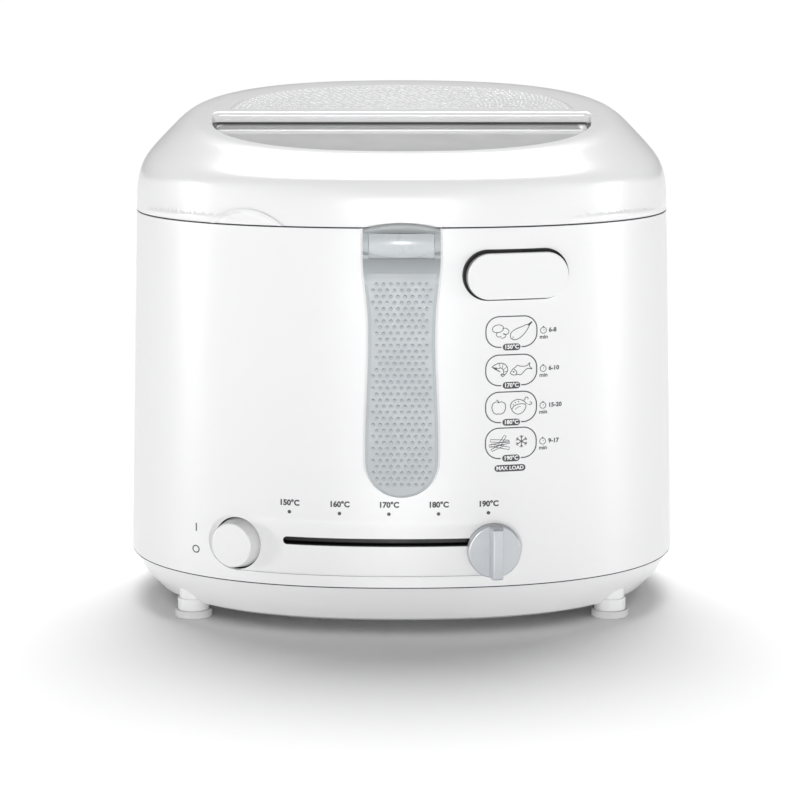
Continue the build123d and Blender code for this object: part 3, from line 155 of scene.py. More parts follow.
def speckled(name, colour, speck, rough):
    """Non-stick coating: dark ground with fine pale specks."""
    material, tree, shader = new_material(name)
    where = tree.nodes.new("ShaderNodeTexCoord")
    cells = tree.nodes.new("ShaderNodeTexVoronoi")
    cells.inputs["Scale"].default_value = 420
    tree.links.new(where.outputs["Object"], cells.inputs["Vector"])
    tree.links.new(ramp(tree, cells.outputs["Distance"], speck, colour, (0.08, 0.16)),
                   shader.inputs["Base Color"])
    tree.links.new(ramp(tree, noise(tree, 80, 4), (rough - 0.06,) * 3, (rough + 0.08,) * 3),
                   shader.inputs["Roughness"])
    add_bump(tree, shader, noise(tree, 700, 3), 0.00004, 0.3)
    return material


def pane_glass(name):
    """Smoked clear pane, slightly hazy from use; its pale grey colour is painted reflection of the bright
    studio, and its own gloss is turned down.
    """
    material, tree, shader = new_material(name)
    haze = noise(tree, 60, 5)
    # pale grey base colour: painted reflection of the bright studio
    tree.links.new(ramp(tree, haze, (0.69, 0.69, 0.695), (0.73, 0.73, 0.735)), shader.inputs["Base Color"])
    tree.links.new(ramp(tree, haze, (0.04,) * 3, (0.10,) * 3), shader.inputs["Roughness"])
    shader.inputs["Transmission Weight"].default_value = 0.22
    shader.inputs["IOR"].default_value = 1.5
    shader.inputs["Specular IOR Level"].default_value = 0.15
    return material


WHITE = (0.74, 0.74, 0.745)
M_WHITE = moulded("white_gloss_plastic", WHITE, 0.32, 0.012, coat=0.3, variation=0.003, grain_strength=0.03)
M_INNER_WHITE = moulded("white_matt_plastic", (0.80, 0.80, 0.80), 0.5, variation=0.012)
M_GREY = moulded("handle_grey_plastic", (0.40, 0.43, 0.445), 0.42, grain=1400, grain_strength=0.35)
M_HANDLE_PAINTED_SHADE = toned("handle_plastic_painted_shade", (0.40, 0.43, 0.445), 0.42)
M_LIGHT_GREY = moulded("light_grey_plastic", (0.50, 0.53, 0.545), 0.30, coat=0.2, grain_strength=0.15)
M_SILVER = moulded("silver_plastic", (0.50, 0.52, 0.54), 0.34, metallic=0.35, grain=1800, grain_strength=0.3)
# black plastic of the real black parts, also used for the painted shade rings and sleeve in the gaps
M_BLACK_PLASTIC_AND_PAINTED_SHADE = moulded("black_plastic", (0.012, 0.012, 0.013), 0.5, variation=0.2)
M_RUBBER = moulded("foot_rubber", (0.60,) * 3, 0.75, grain=700, grain_depth=0.00005, grain_strength=0.5)
M_SEAL = moulded("dark_seal_rubber", (0.05, 0.05, 0.052), 0.7, grain=700, grain_strength=0.4, variation=0.15)
M_SILICONE = moulded("silicone", (0.62, 0.62, 0.60), 0.55, grain=500, grain_strength=0.3)
M_STEEL = brushed("zinc_plated_steel", (0.55, 0.55, 0.56), 0.32)
M_SHEET = brushed("rolled_sheet", (0.62, 0.63, 0.64), 0.38, (30, 1, 30))
M_ALUMINIUM = brushed("cast_aluminium", (0.58, 0.58, 0.60), 0.5, (1, 1, 1), 400)
M_COPPER = brushed("drawn_copper", (0.70, 0.35, 0.16), 0.3)
M_WIRE = brushed("plated_wire", (0.70, 0.70, 0.71), 0.18, (1, 1, 1), 300)
M_FILTER = brushed("filter_mesh", (0.50, 0.50, 0.52), 0.45, (25, 25, 1), 200)
M_COATING = speckled("bowl_coating", (0.035, 0.035, 0.037), (0.20, 0.20, 0.21), 0.38)
M_PANE_PAINTED_REFLECTION = pane_glass("window_glass_painted_reflection")
# grey of the pane's band: painted reflection of the window recess's back wall
M_BAND_PAINTED_REFLECTION = moulded("pane_painted_reflection_grey", (0.24, 0.24, 0.243), 0.3, 0.02, variation=0.05, grain_strength=0.02)
M_BAND_PAINTED_REFLECTION.node_tree.nodes["Principled BSDF"].inputs["Specular IOR Level"].default_value = 0.05
M_INK = moulded("printed_ink", (0.055, 0.055, 0.06), 0.5, variation=0.1)
M_WHITE_INK = moulded("printed_white_ink", (0.80, 0.80, 0.80), 0.5)

CAD_MATERIALS = {
    M_WHITE: ["body_shell", "base_pan", "lid_shell", "vent_panel", "power_button", "lid_release_button",
              "hinge_bracket", "lid_hinge_arms"],
    M_INNER_WHITE: ["top_collar", "filter_tray", "thermostat_body", "lid_hook", "terminal_block"],
    M_HANDLE_PAINTED_SHADE: ["basket_handle"],
    M_LIGHT_GREY: ["handle_button", "lift_rocker", "basket_bracket"],
    M_SILVER: ["temperature_knob"],
    M_BLACK_PLASTIC_AND_PAINTED_SHADE: ["slider_track", "slider_carriage", "switch_body", "switch_bracket", "thermostat_lever",
              "cord_gland"],
    M_RUBBER: ["foot_pads"],
    M_SEAL: ["window_seal"],
    M_SILICONE: ["lid_gasket"],
    M_STEEL: ["base_screws", "collar_screws", "lid_screws", "shield_posts", "handle_pin", "rocker_pin",
              "hinge_pin", "handle_bracket", "power_button_spring", "release_spring", "lid_springs",
              "thermal_fuse"],
    M_SHEET: ["heat_shield", "inner_lid"],
    M_ALUMINIUM: ["element_plate", "heating_element"],
    M_COPPER: ["thermostat_sensor"],
    M_WIRE: ["basket_frame"],
    M_FILTER: ["grease_filter", "basket_mesh"],
    M_COATING: ["oil_bowl"],
    M_PANE_PAINTED_REFLECTION: ["window_pane"],
}


def dress(node, material):
    slots = NODES[node].data.materials
    slots.clear()
    slots.append(material)


for material, members in CAD_MATERIALS.items():
    for member in members:
        dress(member, material)

# ------------------------------------------------------------------ mesh helpers


def make_piece(name, vertices, faces, material, body, smooth=True):
    mesh = bpy.data.meshes.new(name)
    mesh.from_pydata([tuple(v) for v in vertices], [], faces)
    mesh.materials.append(material)
    mesh.polygons.foreach_set("use_smooth", [smooth] * len(mesh.polygons))
    mesh.update()
    piece = bpy.data.objects.new(name, mesh)
    bpy.context.scene.collection.objects.link(piece)
    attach(piece, body)
    return piece


def surface_of(node):
    mesh = NODES[node].data
    return BVHTree.FromPolygons([v.co for v in mesh.vertices], [tuple(p.vertices) for p in mesh.polygons])


DOME_SINK = 0.1 * MM
FAR_OUT = 0.05  # start of a ray, in metres in front of the object
ABOVE = 0.5     # start of a ray, in metres over the object
DOWN = Vector((0, 0, -1))


def dome(centre, normal, along, half_long, half_wide, height, rings=3, around=12):
    """Low rounded pip standing on a surface; its skirt dips just under it."""
    side = normal.cross(along).normalized()
    along = side.cross(normal).normalized()
    vertices, faces = [], []
    for i in range(rings + 1):
        rise = math.sin(math.pi / 2 * i / rings)
        spread = math.cos(math.pi / 2 * i / rings)
        if i == rings:
            vertices.append(centre + normal * height)
            break
        for j in range(around):
            turn = 2 * math.pi * j / around
            flat = along * (half_long * math.cos(turn)) + side * (half_wide * math.sin(turn))
            vertices.append(centre + flat * spread + normal * (height * rise - DOME_SINK * (i == 0)))
    for i in range(rings - 1):
        for j in range(around):
            k = (j + 1) % around
            faces.append((i * around + j, i * around + k, (i + 1) * around + k, (i + 1) * around + j))
    top = rings * around
    last = (rings - 1) * around
    faces += [(last + j, last + (j + 1) % around, top) for j in range(around)]
    faces.append(tuple(reversed(range(around))))
    return vertices, faces


class Gather:
    """Collects many small closed shapes into one mesh."""

    def __init__(self):
        self.vertices, self.faces = [], []

    def add(self, shape):
        vertices, faces = shape
        base = len(self.vertices)
        self.vertices += vertices
        self.faces += [tuple(base + i for i in face) for face in faces]


# ------------------------------------------------------------------ handle grip


def handle_dots():
    """Staggered rows of round pips on the front of the basket handle."""
    pitch, row_pitch, radius, height = 3.65 * MM, 3.13 * MM, 0.95 * MM, 0.8 * MM
    first_z, rows, most = 187 * MM, 34, 9
    edge, deepest, back = 2.6 * MM, 12 * MM, Vector((0, 1, 0))
    surface = surface_of("basket_handle")
    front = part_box("basket_handle")[0].y

    def hit_at(x, z):
        return surface.ray_cast(Vector((x, front - FAR_OUT, z)), back)

    gather = Gather()
    for row in range(rows):
        z = first_z - row * row_pitch
        count = most if row % 2 else most - 1
        for i in range(count):
            x = (i - (count - 1) / 2) * pitch
            around = [hit_at(x + dx, z + dz)[0] for dx, dz in ((edge, 0), (-edge, 0), (0, -edge), (0, 0))]
            if any(place is None or place.y >= front + deepest for place in around):
                continue
            place, normal, _, _ = hit_at(x, z)
            if normal.y > 0:
                normal = -normal
            gather.add(dome(place, normal, Vector((1, 0, 0)), radius, radius, height))
    return make_piece("handle_grip_pips", gather.vertices, gather.faces, M_GREY, "basket_handle")


handle_dots()

# ------------------------------------------------------------------ lid vent texture


def vent_pips():
    """Fine embossed dashes in rings that follow the oval of the lid's top."""
    surface = surface_of("vent_panel")
    low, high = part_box("vent_panel")
    margin, centre_y, power, flattening = 3 * MM, 5 * MM, 2.3, 1.25
    half_x = (high.x - low.x) / 2 - margin
    half_y = high.y - margin - centre_y
    rings, pitch, spacing, least, steps = 24, 2.9 * MM, 3.7 * MM, 2 * MM, 720
    half_long, half_wide, height, level = 1.25 * MM, 0.7 * MM, 0.35 * MM, 0.9
    gather = Gather()
    for ring in range(rings):
        a, b = half_x - ring * pitch, half_y - ring * pitch * half_y / half_x * flattening
        if b < least:
            break
        points = []
        for i in range(steps + 1):
            turn = math.pi * i / steps
            c, s = math.cos(turn), math.sin(turn)
            x = a * math.copysign(abs(c) ** (2 / power), c)
            points.append(Vector((x, centre_y + b * abs(s) ** (2 / power), 0)))
        travelled, wanted = 0.0, spacing * (0.25 if ring % 2 else 0.75)
        for before, after in zip(points, points[1:]):
            travelled += (after - before).length
            if travelled < wanted:
                continue
            wanted += spacing
            if after.y < low.y + margin:
                continue
            along = (after - before).normalized()
            place, normal, _, _ = surface.ray_cast(Vector((after.x, after.y, ABOVE)), DOWN)
            if place is None or normal.z < level:
                continue
            gather.add(dome(place, normal, along, half_long, half_wide, height, rings=2, around=8))
    return make_piece("vent_embossing", gather.vertices, gather.faces, M_WHITE, "lid")


vent_pips()

# ------------------------------------------------------------------ smooth skins

OVAL_POWER, LID_POWER = 2.31, 2.45
SEAM_A, SEAM_B, SEAM_Z = 150.2, 124.2, 28.2
RIM_A, RIM_B, RIM_Z = 145, 120, 214
CREASE_A, CREASE_B, TOP_A, TOP_B, TOP_Y = 142.5, 117.5, 104, 85, -5
PAN_SECTIONS = (  # half width, half depth, height, middle, tilt and power of the base pan's outline
    (135.5, 111.5, 8.6, 0, 0, OVAL_POWER), (143.5, 118, 17, 0, 0, OVAL_POWER),
    (149.5, 123.5, 27.9, 0, 0, OVAL_POWER))
LID_SECTIONS = (  # half width, height and tilt of the lid's outline, from its lower edge up
    (RIM_A, 214.8, 0), (144.7, 222.0, 0), (144.0, 230.0, 0.2), (CREASE_A, 236.4, 0.7), (140.6, 241.0, 1.6),
    (137.8, 245.2, 2.9), (133.8, 249.6, 4.4), (129.0, 254.2, 6.0), (124.2, 258.6, 7.5), (118.8, 262.4, 8.6),
    (112.0, 264.4, 9.1), (TOP_A, 264.8, 9.1))


def oval_row(a, b, z, y, tilt, power, columns=360):
    """Points of a rounded oval, tilted about its own X axis."""
    row = []
    lean = math.radians(tilt)
    for i in range(columns):
        turn = 2 * math.pi * i / columns
        c, s = math.cos(turn), math.sin(turn)
        u = a * math.copysign(abs(c) ** (2 / power), c)
        v = b * math.copysign(abs(s) ** (2 / power), s)
        row.append(Vector((u, y + v * math.cos(lean), z + v * math.sin(lean))) * MM)
    return row


def body_section(share):
    a, b = SEAM_A + (RIM_A - SEAM_A) * share, SEAM_B + (RIM_B - SEAM_B) * share
    return (a, b, SEAM_Z + (RIM_Z - SEAM_Z) * share, 0, 0, OVAL_POWER)


def lid_section(a, z, tilt):
    share = max(0, (CREASE_A - a) / (CREASE_A - TOP_A))
    b = CREASE_B + (TOP_B - CREASE_B) * share + max(0, a - CREASE_A)
    power = OVAL_POWER + (LID_POWER - OVAL_POWER) * min(1, (RIM_A - a) / (RIM_A - CREASE_A))
    return (a, b, z, TOP_Y * share, tilt, power)


def between(values, place):
    """Smooth curve through a list of tuples, read at a fractional place."""
    i = min(int(place), len(values) - 2)
    t = place - i
    p = [values[max(0, min(len(values) - 1, i + k))] for k in (-1, 0, 1, 2)]
    return tuple(
        0.5 * (2 * b + (c - a) * t + (2 * a - 5 * b + 4 * c - d) * t * t + (3 * b - a - 3 * c + d) * t ** 3)
        for a, b, c, d in zip(*p)
    )


class Skin:
    """Ideal surface through rows of points; gives its smooth normal near any point."""

    def __init__(self, rows):
        self.wide = len(rows[0])
        self.points = [p for row in rows for p in row]
        self.normals = []
        for j, row in enumerate(rows):
            below, above = rows[max(0, j - 1)], rows[min(len(rows) - 1, j + 1)]
            for i in range(self.wide):
                across = row[(i + 1) % self.wide] - row[i - 1]
                self.normals.append(across.cross(above[i] - below[i]).normalized())
        self.quads = [(j * self.wide + i, j * self.wide + (i + 1) % self.wide,
                       (j + 1) * self.wide + (i + 1) % self.wide, (j + 1) * self.wide + i)
                      for j in range(len(rows) - 1) for i in range(self.wide)]
        self.tree = BVHTree.FromPolygons(self.points, self.quads)

    def normal_near(self, point, reach):
        place, _, index, _ = self.tree.find_nearest(point, reach)
        if place is None:
            return None
        quad = self.quads[index]
        weights = poly_3d_calc([self.points[i] for i in quad], place)
        total = Vector((0, 0, 0))
        for weight, i in zip(weights, quad):
            total += self.normals[i] * weight
        return total.normalized()


def smooth_copy(node, name, skin, body, material, reach=0.3 * MM, most_turn=25):
    """The CAD piece with the ideal surface's normals wherever its faces lie on that surface."""
    source = NODES[node].data
    mesh = source.copy()
    mesh.name = name
    old = [n.vector.copy() for n in source.corner_normals]
    near = [skin.normal_near(v.co, reach) for v in mesh.vertices]
    least = math.cos(math.radians(most_turn))
    normals = list(old)
    for face in mesh.polygons:
        for corner in face.loop_indices:
            ideal = near[mesh.loops[corner].vertex_index]
            if ideal is not None and ideal.dot(face.normal) > least:
                normals[corner] = ideal
    mesh.normals_split_custom_set(normals)
    mesh.materials.clear()
    mesh.materials.append(material)
    piece = bpy.data.objects.new(name, mesh)
    bpy.context.scene.collection.objects.link(piece)
    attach(piece, body)
    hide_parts(node)


def skin_through(sections):
    steps = ROWS_BETWEEN * (len(sections) - 1)
    return Skin([oval_row(*between(sections, i / ROWS_BETWEEN)) for i in range(steps + 1)])


BODY_ROWS, ROWS_BETWEEN = 60, 8
BODY_SKIN = Skin([oval_row(*body_section(i / BODY_ROWS)) for i in range(BODY_ROWS + 1)])
PAN_SKIN = skin_through(PAN_SECTIONS)
LID_SKIN = skin_through([lid_section(*section) for section in LID_SECTIONS])
LID_REACH, LID_TURN = 1.2 * MM, 32
smooth_copy("body_shell", "body_shell_smooth", BODY_SKIN, "root", M_WHITE)
smooth_copy("lid_shell", "lid_shell_smooth", LID_SKIN, "lid", M_WHITE, LID_REACH, LID_TURN)
smooth_copy("base_pan", "base_pan_smooth", PAN_SKIN, "root", M_WHITE)

# ------------------------------------------------------------------ painted shade in the gaps and painted reflection on the pane

NECK_HALF, HINGE_HALF = 22, 48
RIM_STRIP_INSETS, RIM_STRIP_Z = (0.7, 2.6), (213.95, 214.6)
SEAM_STRIP_INSETS, SEAM_STRIP_Z = (0.12, 2.2), (27.62, 28.18)
RELEASE_X, RELEASE_Z, RELEASE_LONG, RELEASE_HIGH = 58.7, 190, 56.5, 26.3
WELL_FIT, WELL_WALL, WELL_LEDGE = -0.03, -0.35, -4.0  # how far the sleeve's rings grow past the opening
WELL_FRONT, WELL_SHELF, WELL_BACK = 0.55, 6.6, 7.0  # how far behind the wall's face they lie


def dark_strip(name, wide, deep, insets, heights, gaps=(0, 0)):
    """Closed dark ring in a parting line, painted shade of the gap; gaps are the half widths left out at the
    front and the rear.
    """
    (outer, inner), (low, high) = insets, heights
    rows = [oval_row(wide - inset, deep - inset, z, 0, 0, OVAL_POWER)
            for inset, z in ((outer, low), (outer, high), (inner, high), (inner, low))]
    count = len(rows[0])
    front, rear = gaps
    keep = [abs(p.x) >= (front if p.y < 0 else rear) * MM for p in rows[0]]
    vertices = [p for row in rows for p in row]
    faces = []
    for i in range(count):
        j = (i + 1) % count
        if keep[i] and keep[j]:
            for k in range(4):
                m = (k + 1) % 4
                faces.append((k * count + i, k * count + j, m * count + j, m * count + i))
        elif keep[i]:
            faces.append(tuple(k * count + i for k in range(4)))
        elif keep[j]:
            faces.append(tuple(k * count + j for k in reversed(range(4))))
    used = sorted({i for face in faces for i in face})
    place = {old: new for new, old in enumerate(used)}
    return make_piece(name, [vertices[i] for i in used], [tuple(place[i] for i in face) for face in faces],
                      M_BLACK_PLASTIC_AND_PAINTED_SHADE, "root", smooth=False)


def release_well():
    """Dark sleeve in the release button's opening, painted shade of the gap round the button, with a ledge
    behind the button's edge.
    """
    share = (RELEASE_Z - SEAM_Z) / (RIM_Z - SEAM_Z)
    a, b = SEAM_A + (RIM_A - SEAM_A) * share, SEAM_B + (RIM_B - SEAM_B) * share
    u = RELEASE_X / a
    y = -b * (1 - u ** OVAL_POWER) ** (1 / OVAL_POWER)
    slope = b / a * (1 - u ** OVAL_POWER) ** (1 / OVAL_POWER - 1) * u ** (OVAL_POWER - 1)
    along = Vector((1, slope, 0)).normalized()
    out = Vector((slope, -1, 0)).normalized()
    centre = Vector((RELEASE_X, y, RELEASE_Z)) * MM
    rings = []
    for grow, deep in ((WELL_FIT, WELL_FRONT), (WELL_FIT, WELL_BACK), (WELL_LEDGE, WELL_BACK),
                       (WELL_LEDGE, WELL_SHELF), (WELL_WALL, WELL_SHELF), (WELL_WALL, WELL_FRONT)):
        high = RELEASE_HIGH / 2 + grow
        outline = stadium(RELEASE_LONG / 2 + grow, high, high, 12)
        rings.append([centre + (along * x + Vector((0, 0, z)) - out * deep) * MM for x, z in outline])
    count = len(rings[0])
    faces = []
    for k in range(len(rings)):
        m = (k + 1) % len(rings)
        for i in range(count):
            j = (i + 1) % count
            faces.append((k * count + j, k * count + i, m * count + i, m * count + j))
    return make_piece("release_opening_painted_shade", [p for ring in rings for p in ring], faces, M_BLACK_PLASTIC_AND_PAINTED_SHADE, "root",
                      smooth=False)


def pane_border():
    """Grey band laid along the pane's rear edge: painted reflection of the window recess's back wall."""
    pane = surface_of("window_pane")
    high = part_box("window_pane")[1]
    back, deep, columns, step, half_thick = high.y - 0.5 * MM, 14.5 * MM, 40, 0.5 * MM, 0.06 * MM
    top, faces = [], []
    for y in (back, back - deep):
        half = 0.0
        while half < high.x and pane.ray_cast(Vector((half + step, y, ABOVE)), DOWN)[0]:
            half += step
        for i in range(columns + 1):
            x = -half + 2 * half * i / columns
            top.append(pane.ray_cast(Vector((x, y, ABOVE)), DOWN)[0])
    proud, wide = Vector((0, 0, half_thick)), columns + 1
    vertices = [p + proud for p in top] + [p - proud for p in top]
    count = len(top)
    for i in range(columns):
        faces.append((i + 1, i, i + wide, i + wide + 1))
        faces.append((i + count, i + 1 + count, i + wide + 1 + count, i + wide + count))
        faces.append((i, i + 1, i + 1 + count, i + count))
        faces.append((i + wide + 1, i + wide, i + wide + count, i + wide + 1 + count))
    faces.append((0, count, count + wide, wide))
    faces.append((columns, columns + wide, count + wide + columns, count + columns))
    return make_piece("pane_border", vertices, faces, M_BAND_PAINTED_REFLECTION, "lid", smooth=False)


# ------------------------------------------------------------------ printed marks

FRONT = surface_of("body_shell")
INK_PROUD, INK_SUNK = 0.05 * MM, 0.05 * MM
CAPITAL_SHARE = 0.72  # height of a capital as a share of the letters' size


def front_y(x, z):
    place, _, _, _ = FRONT.ray_cast(Vector((x, -2 * SEAM_B * MM, z)), Vector((0, 1, 0)))
    return place.y


def broken_up(points, closed, longest=1.5):
    """The same line with its long straight parts divided, so that it can follow a curved wall."""
    fine = []
    for p, q in zip(points, points[1:] + points[:1] if closed else points[1:]):
        parts = max(1, math.ceil(math.hypot(q[0] - p[0], q[1] - p[1]) / longest))
        fine += [(p[0] + (q[0] - p[0]) * i / parts, p[1] + (q[1] - p[1]) * i / parts) for i in range(parts)]
    return fine if closed else fine + [points[-1]]


def printed(name, shapes, material):
    """Thin closed shapes laid on the front wall; each is drawn flat, in mm, in x and z."""
    gather = Gather()
    for points, faces, proud in shapes:
        flat = [(x * MM, z * MM) for x, z in points]
        deep = [front_y(x, z) for x, z in flat]
        top = [Vector((x, y - INK_PROUD * proud, z)) for (x, z), y in zip(flat, deep)]
        low = [Vector((x, y + INK_SUNK, z)) for (x, z), y in zip(flat, deep)]
        count = len(flat)
        used = {edge: True for face in faces for edge in zip(face, face[1:] + face[:1])}
        rims = [(i, j) for i, j in used if (j, i) not in used]
        sides = [(j, i, i + count, j + count) for i, j in rims]
        back = [tuple(i + count for i in reversed(face)) for face in faces]
        gather.add((top + low, [tuple(face) for face in faces] + back + sides))
    return make_piece(name, gather.vertices, gather.faces, material, "root", smooth=False)


def moved(shape, x, z):
    points, faces, proud = shape
    return [(x + px, z + pz) for px, pz in points], faces, proud


def ribbon(points, width=0.36, closed=False):
    """Line of constant width through points."""
    points = broken_up(points, closed)
    count = len(points)
    left, right = [], []
    for i, (x, z) in enumerate(points):
        before = points[i - 1] if i or closed else points[i]
        after = points[(i + 1) % count] if i < count - 1 or closed else points[i]
        dx, dz = after[0] - before[0], after[1] - before[1]
        length = math.hypot(dx, dz) or 1
        nx, nz = -dz / length * width / 2, dx / length * width / 2
        left.append((x + nx, z + nz))
        right.append((x - nx, z - nz))
    parts = count if closed else count - 1
    faces = [[i + count, (i + 1) % count + count, (i + 1) % count, i] for i in range(parts)]
    return left + right, faces, 1


def oval(x, z, rx, rz, turn=0, start=0, end=360, width=0.36):
    """Outline of an ellipse, or part of it."""
    closed = end - start == 360
    steps = max(6, int((end - start) / 12))
    c, s = math.cos(math.radians(turn)), math.sin(math.radians(turn))
    points = []
    for i in range(steps + (0 if closed else 1)):
        t = math.radians(start + (end - start) * i / steps)
        u, v = rx * math.cos(t), rz * math.sin(t)
        points.append((x + u * c - v * s, z + u * s + v * c))
    return ribbon(points, width, closed)


def curve(points, width=0.38, closed=False, steps=5):
    """Smooth line through a few points."""
    count = len(points)
    fine = []
    for i in range(count if closed else count - 1):
        if closed:
            p = [points[(i + k) % count] for k in (-1, 0, 1, 2)]
        else:
            p = [points[max(0, min(count - 1, i + k))] for k in (-1, 0, 1, 2)]
        for step in range(steps):
            fine.append(between(p, 1 + step / steps))
    if not closed:
        fine.append(points[-1])
    return ribbon(fine, width, closed)


def stadium(half_long, half_high, radius, steps=10):
    """Points of a rounded rectangle, anticlockwise from the middle of its lower edge."""
    points = []
    for cx, cz, start in ((1, -1, -90), (1, 1, 0), (-1, 1, 90), (-1, -1, 180)):
        for i in range(steps + 1):
            t = math.radians(start + 90 * i / steps)
            points.append((cx * (half_long - radius) + radius * math.cos(t),
                           cz * (half_high - radius) + radius * math.sin(t)))
    return points


def filled(points):
    return list(points), [list(range(len(points)))], 1


def pill(half_long, half_high, columns=14):
    """Filled shape with round ends, made of upright strips so that it follows a curved wall."""
    points, faces = [], []
    for i in range(columns + 1):
        turn = math.pi * i / columns
        c = math.cos(turn)
        x = -(half_long - half_high) * c - half_high * math.copysign(abs(c) ** 0.5, c)
        over = max(0, abs(x) - (half_long - half_high))
        z = math.sqrt(max(0, half_high ** 2 - over ** 2)) + 0.01
        points += [(x, -z), (x, z)]
    for i in range(columns):
        k = 2 * i
        faces.append([k, k + 2, k + 3, k + 1])
    return points, faces, 1


def words(text, height, proud, bold):
    """Text as flat shapes, centred; height is that of its capitals, in mm, and bold thickens its lines."""
    data = bpy.data.curves.new("words", "FONT")
    data.body = text
    data.size = height / CAPITAL_SHARE
    data.align_x, data.align_y = "CENTER", "CENTER"
    data.offset = bold
    data.resolution_u = 3
    holder = bpy.data.objects.new("words", data)
    bpy.context.scene.collection.objects.link(holder)
    mesh = bpy.data.meshes.new_from_object(holder)
    points = [(v.co.x, v.co.y) for v in mesh.vertices]
    faces = [list(p.vertices) for p in mesh.polygons]
    flipped = [face if p.normal.z > 0 else face[::-1] for face, p in zip(faces, mesh.polygons)]
    bpy.data.objects.remove(holder)
    bpy.data.curves.remove(data)
    bpy.data.meshes.remove(mesh)
    return points, flipped, proud


def potatoes_and_courgette():
    return [
        oval(-7.0, 1.7, 2.9, 2.0, 8), oval(-3.3, 0.3, 2.0, 1.6, -20, -110, 150),
        oval(-6.4, -1.3, 1.4, 1.3, 0, 110, 320), oval(-4.4, -2.1, 1.5, 1.1, 20, -150, 60),
        curve([(-0.6, -2.3), (-0.2, -0.6), (1.6, 0.9), (3.9, 1.9), (6.2, 2.7), (7.9, 3.4), (9.1, 2.6),
               (8.2, 0.9), (6.8, -1.1), (4.5, -3.2), (2.2, -4.2), (0.5, -4.0), (-0.4, -3.2)], closed=True),
        filled([(8.4, 3.6), (9.3, 2.7), (10.9, 4.6), (10.4, 5.0)]),
        curve([(0.3, -3.6), (0.9, -3.0), (0.8, -2.4)], 0.25),
    ]


def shrimp_and_fish():
    return [
        curve([(-10.2, 1.6), (-8.6, 2.8), (-6.2, 3.7), (-3.6, 3.2), (-2.0, 1.2), (-2.2, -1.0), (-4.4, -3.4)]),
        curve([(-8.6, 0.6), (-6.8, 0.9), (-5.4, 1.2), (-4.2, 0.2), (-4.0, -1.4), (-4.9, -2.6)]),
        curve([(-4.4, -3.4), (-5.4, -2.4), (-4.6, -1.9), (-3.2, -2.6)]),
        ribbon([(-6.2, 3.6), (-5.8, 1.2)], 0.25), ribbon([(-4.2, 3.4), (-4.8, 0.9)], 0.25),
        ribbon([(-2.3, 1.8), (-4.1, 0.2)], 0.25), ribbon([(-2.1, -0.6), (-4.0, -1.0)], 0.25),
        filled([(-10.4, 1.8), (-8.2, 0.2), (-7.2, 1.4)]), ribbon([(-8.2, 0.6), (-5.8, -0.8)], 0.5),
        curve([(-0.4, -1.8), (0.6, 0.2), (2.0, 1.2), (3.2, 2.3), (4.6, 1.8), (7.8, 1.8), (9.6, 3.4),
               (9.4, 1.6), (10.8, 0.2), (8.4, 0.4), (6.8, -0.8), (5.0, -2.6), (3.2, -2.4), (1.4, -2.7)],
              closed=True),
        curve([(1.4, 0.3), (2.8, -1.0), (2.4, -2.6)]), oval(1.2, -1.0, 0.25, 0.25),
    ]


def apple_and_drumstick():
    return [
        curve([(-6.3, 2.5), (-5.0, 2.9), (-3.2, 1.8), (-2.9, -0.6), (-4.0, -2.9), (-5.6, -3.5), (-6.4, -3.3),
               (-7.4, -3.5), (-9.0, -2.7), (-9.9, -0.4), (-9.5, 1.8), (-7.8, 2.9)], closed=True),
        ribbon([(-6.4, 2.3), (-6.8, 3.4), (-7.6, 3.9)], 0.45),
        curve([(-0.3, -0.2), (0.0, 1.8), (1.8, 3.4), (4.4, 3.7), (6.6, 2.8), (7.9, 1.4)]),
        curve([(0.4, -1.4), (1.6, 0.4), (4.2, 1.4), (7.2, 1.1), (7.6, -0.6), (6.0, -3.0), (3.6, -3.9),
               (1.6, -3.0)], closed=True),
        ribbon([(-0.3, -0.2), (0.2, -1.2)]), ribbon([(6.4, 2.9), (7.4, 4.0)]),
        ribbon([(8.0, 1.4), (8.6, 1.2)]),
        oval(8.0, 4.1, 0.8, 0.7, 0, -40, 220), oval(9.8, 1.5, 0.9, 0.7, 0, -150, 100),
        curve([(2.2, -1.4), (3.4, -0.3), (5.0, 0.1)], 0.25),
        oval(2.2, 2.2, 0.12, 0.12), oval(3.8, 2.6, 0.12, 0.12), oval(1.2, 1.1, 0.12, 0.12),
    ]


def chip(x, z, long, high, turn):
    c, s = math.cos(math.radians(turn)), math.sin(math.radians(turn))
    box = [(-long / 2, -high / 2), (long / 2, -high / 2), (long / 2, high / 2), (-long / 2, high / 2)]
    return ribbon([(x + u * c - v * s, z + u * s + v * c) for u, v in box], 0.32, True)


def chips_and_snowflake():
    shapes = [chip(-6.0, 1.2, 9.5, 1.3, -4), chip(-6.0, -0.4, 10.6, 1.3, 10), chip(-5.6, -1.8, 9.6, 1.3, -12),
              chip(-4.4, 1.6, 5.4, 1.3, 58), chip(-7.0, -2.2, 6.6, 1.2, 24)]
    for arm in range(6):
        c, s = math.cos(math.radians(30 + 60 * arm)), math.sin(math.radians(30 + 60 * arm))

        def at(u, v):
            return (5.5 + u * c - v * s, 0.6 + u * s + v * c)

        shapes.append(ribbon([at(0, 0), at(3.2, 0)], 0.45))
        shapes.append(ribbon([at(2.9, 0.9), at(1.9, 0), at(2.9, -0.9)], 0.4))
    return shapes


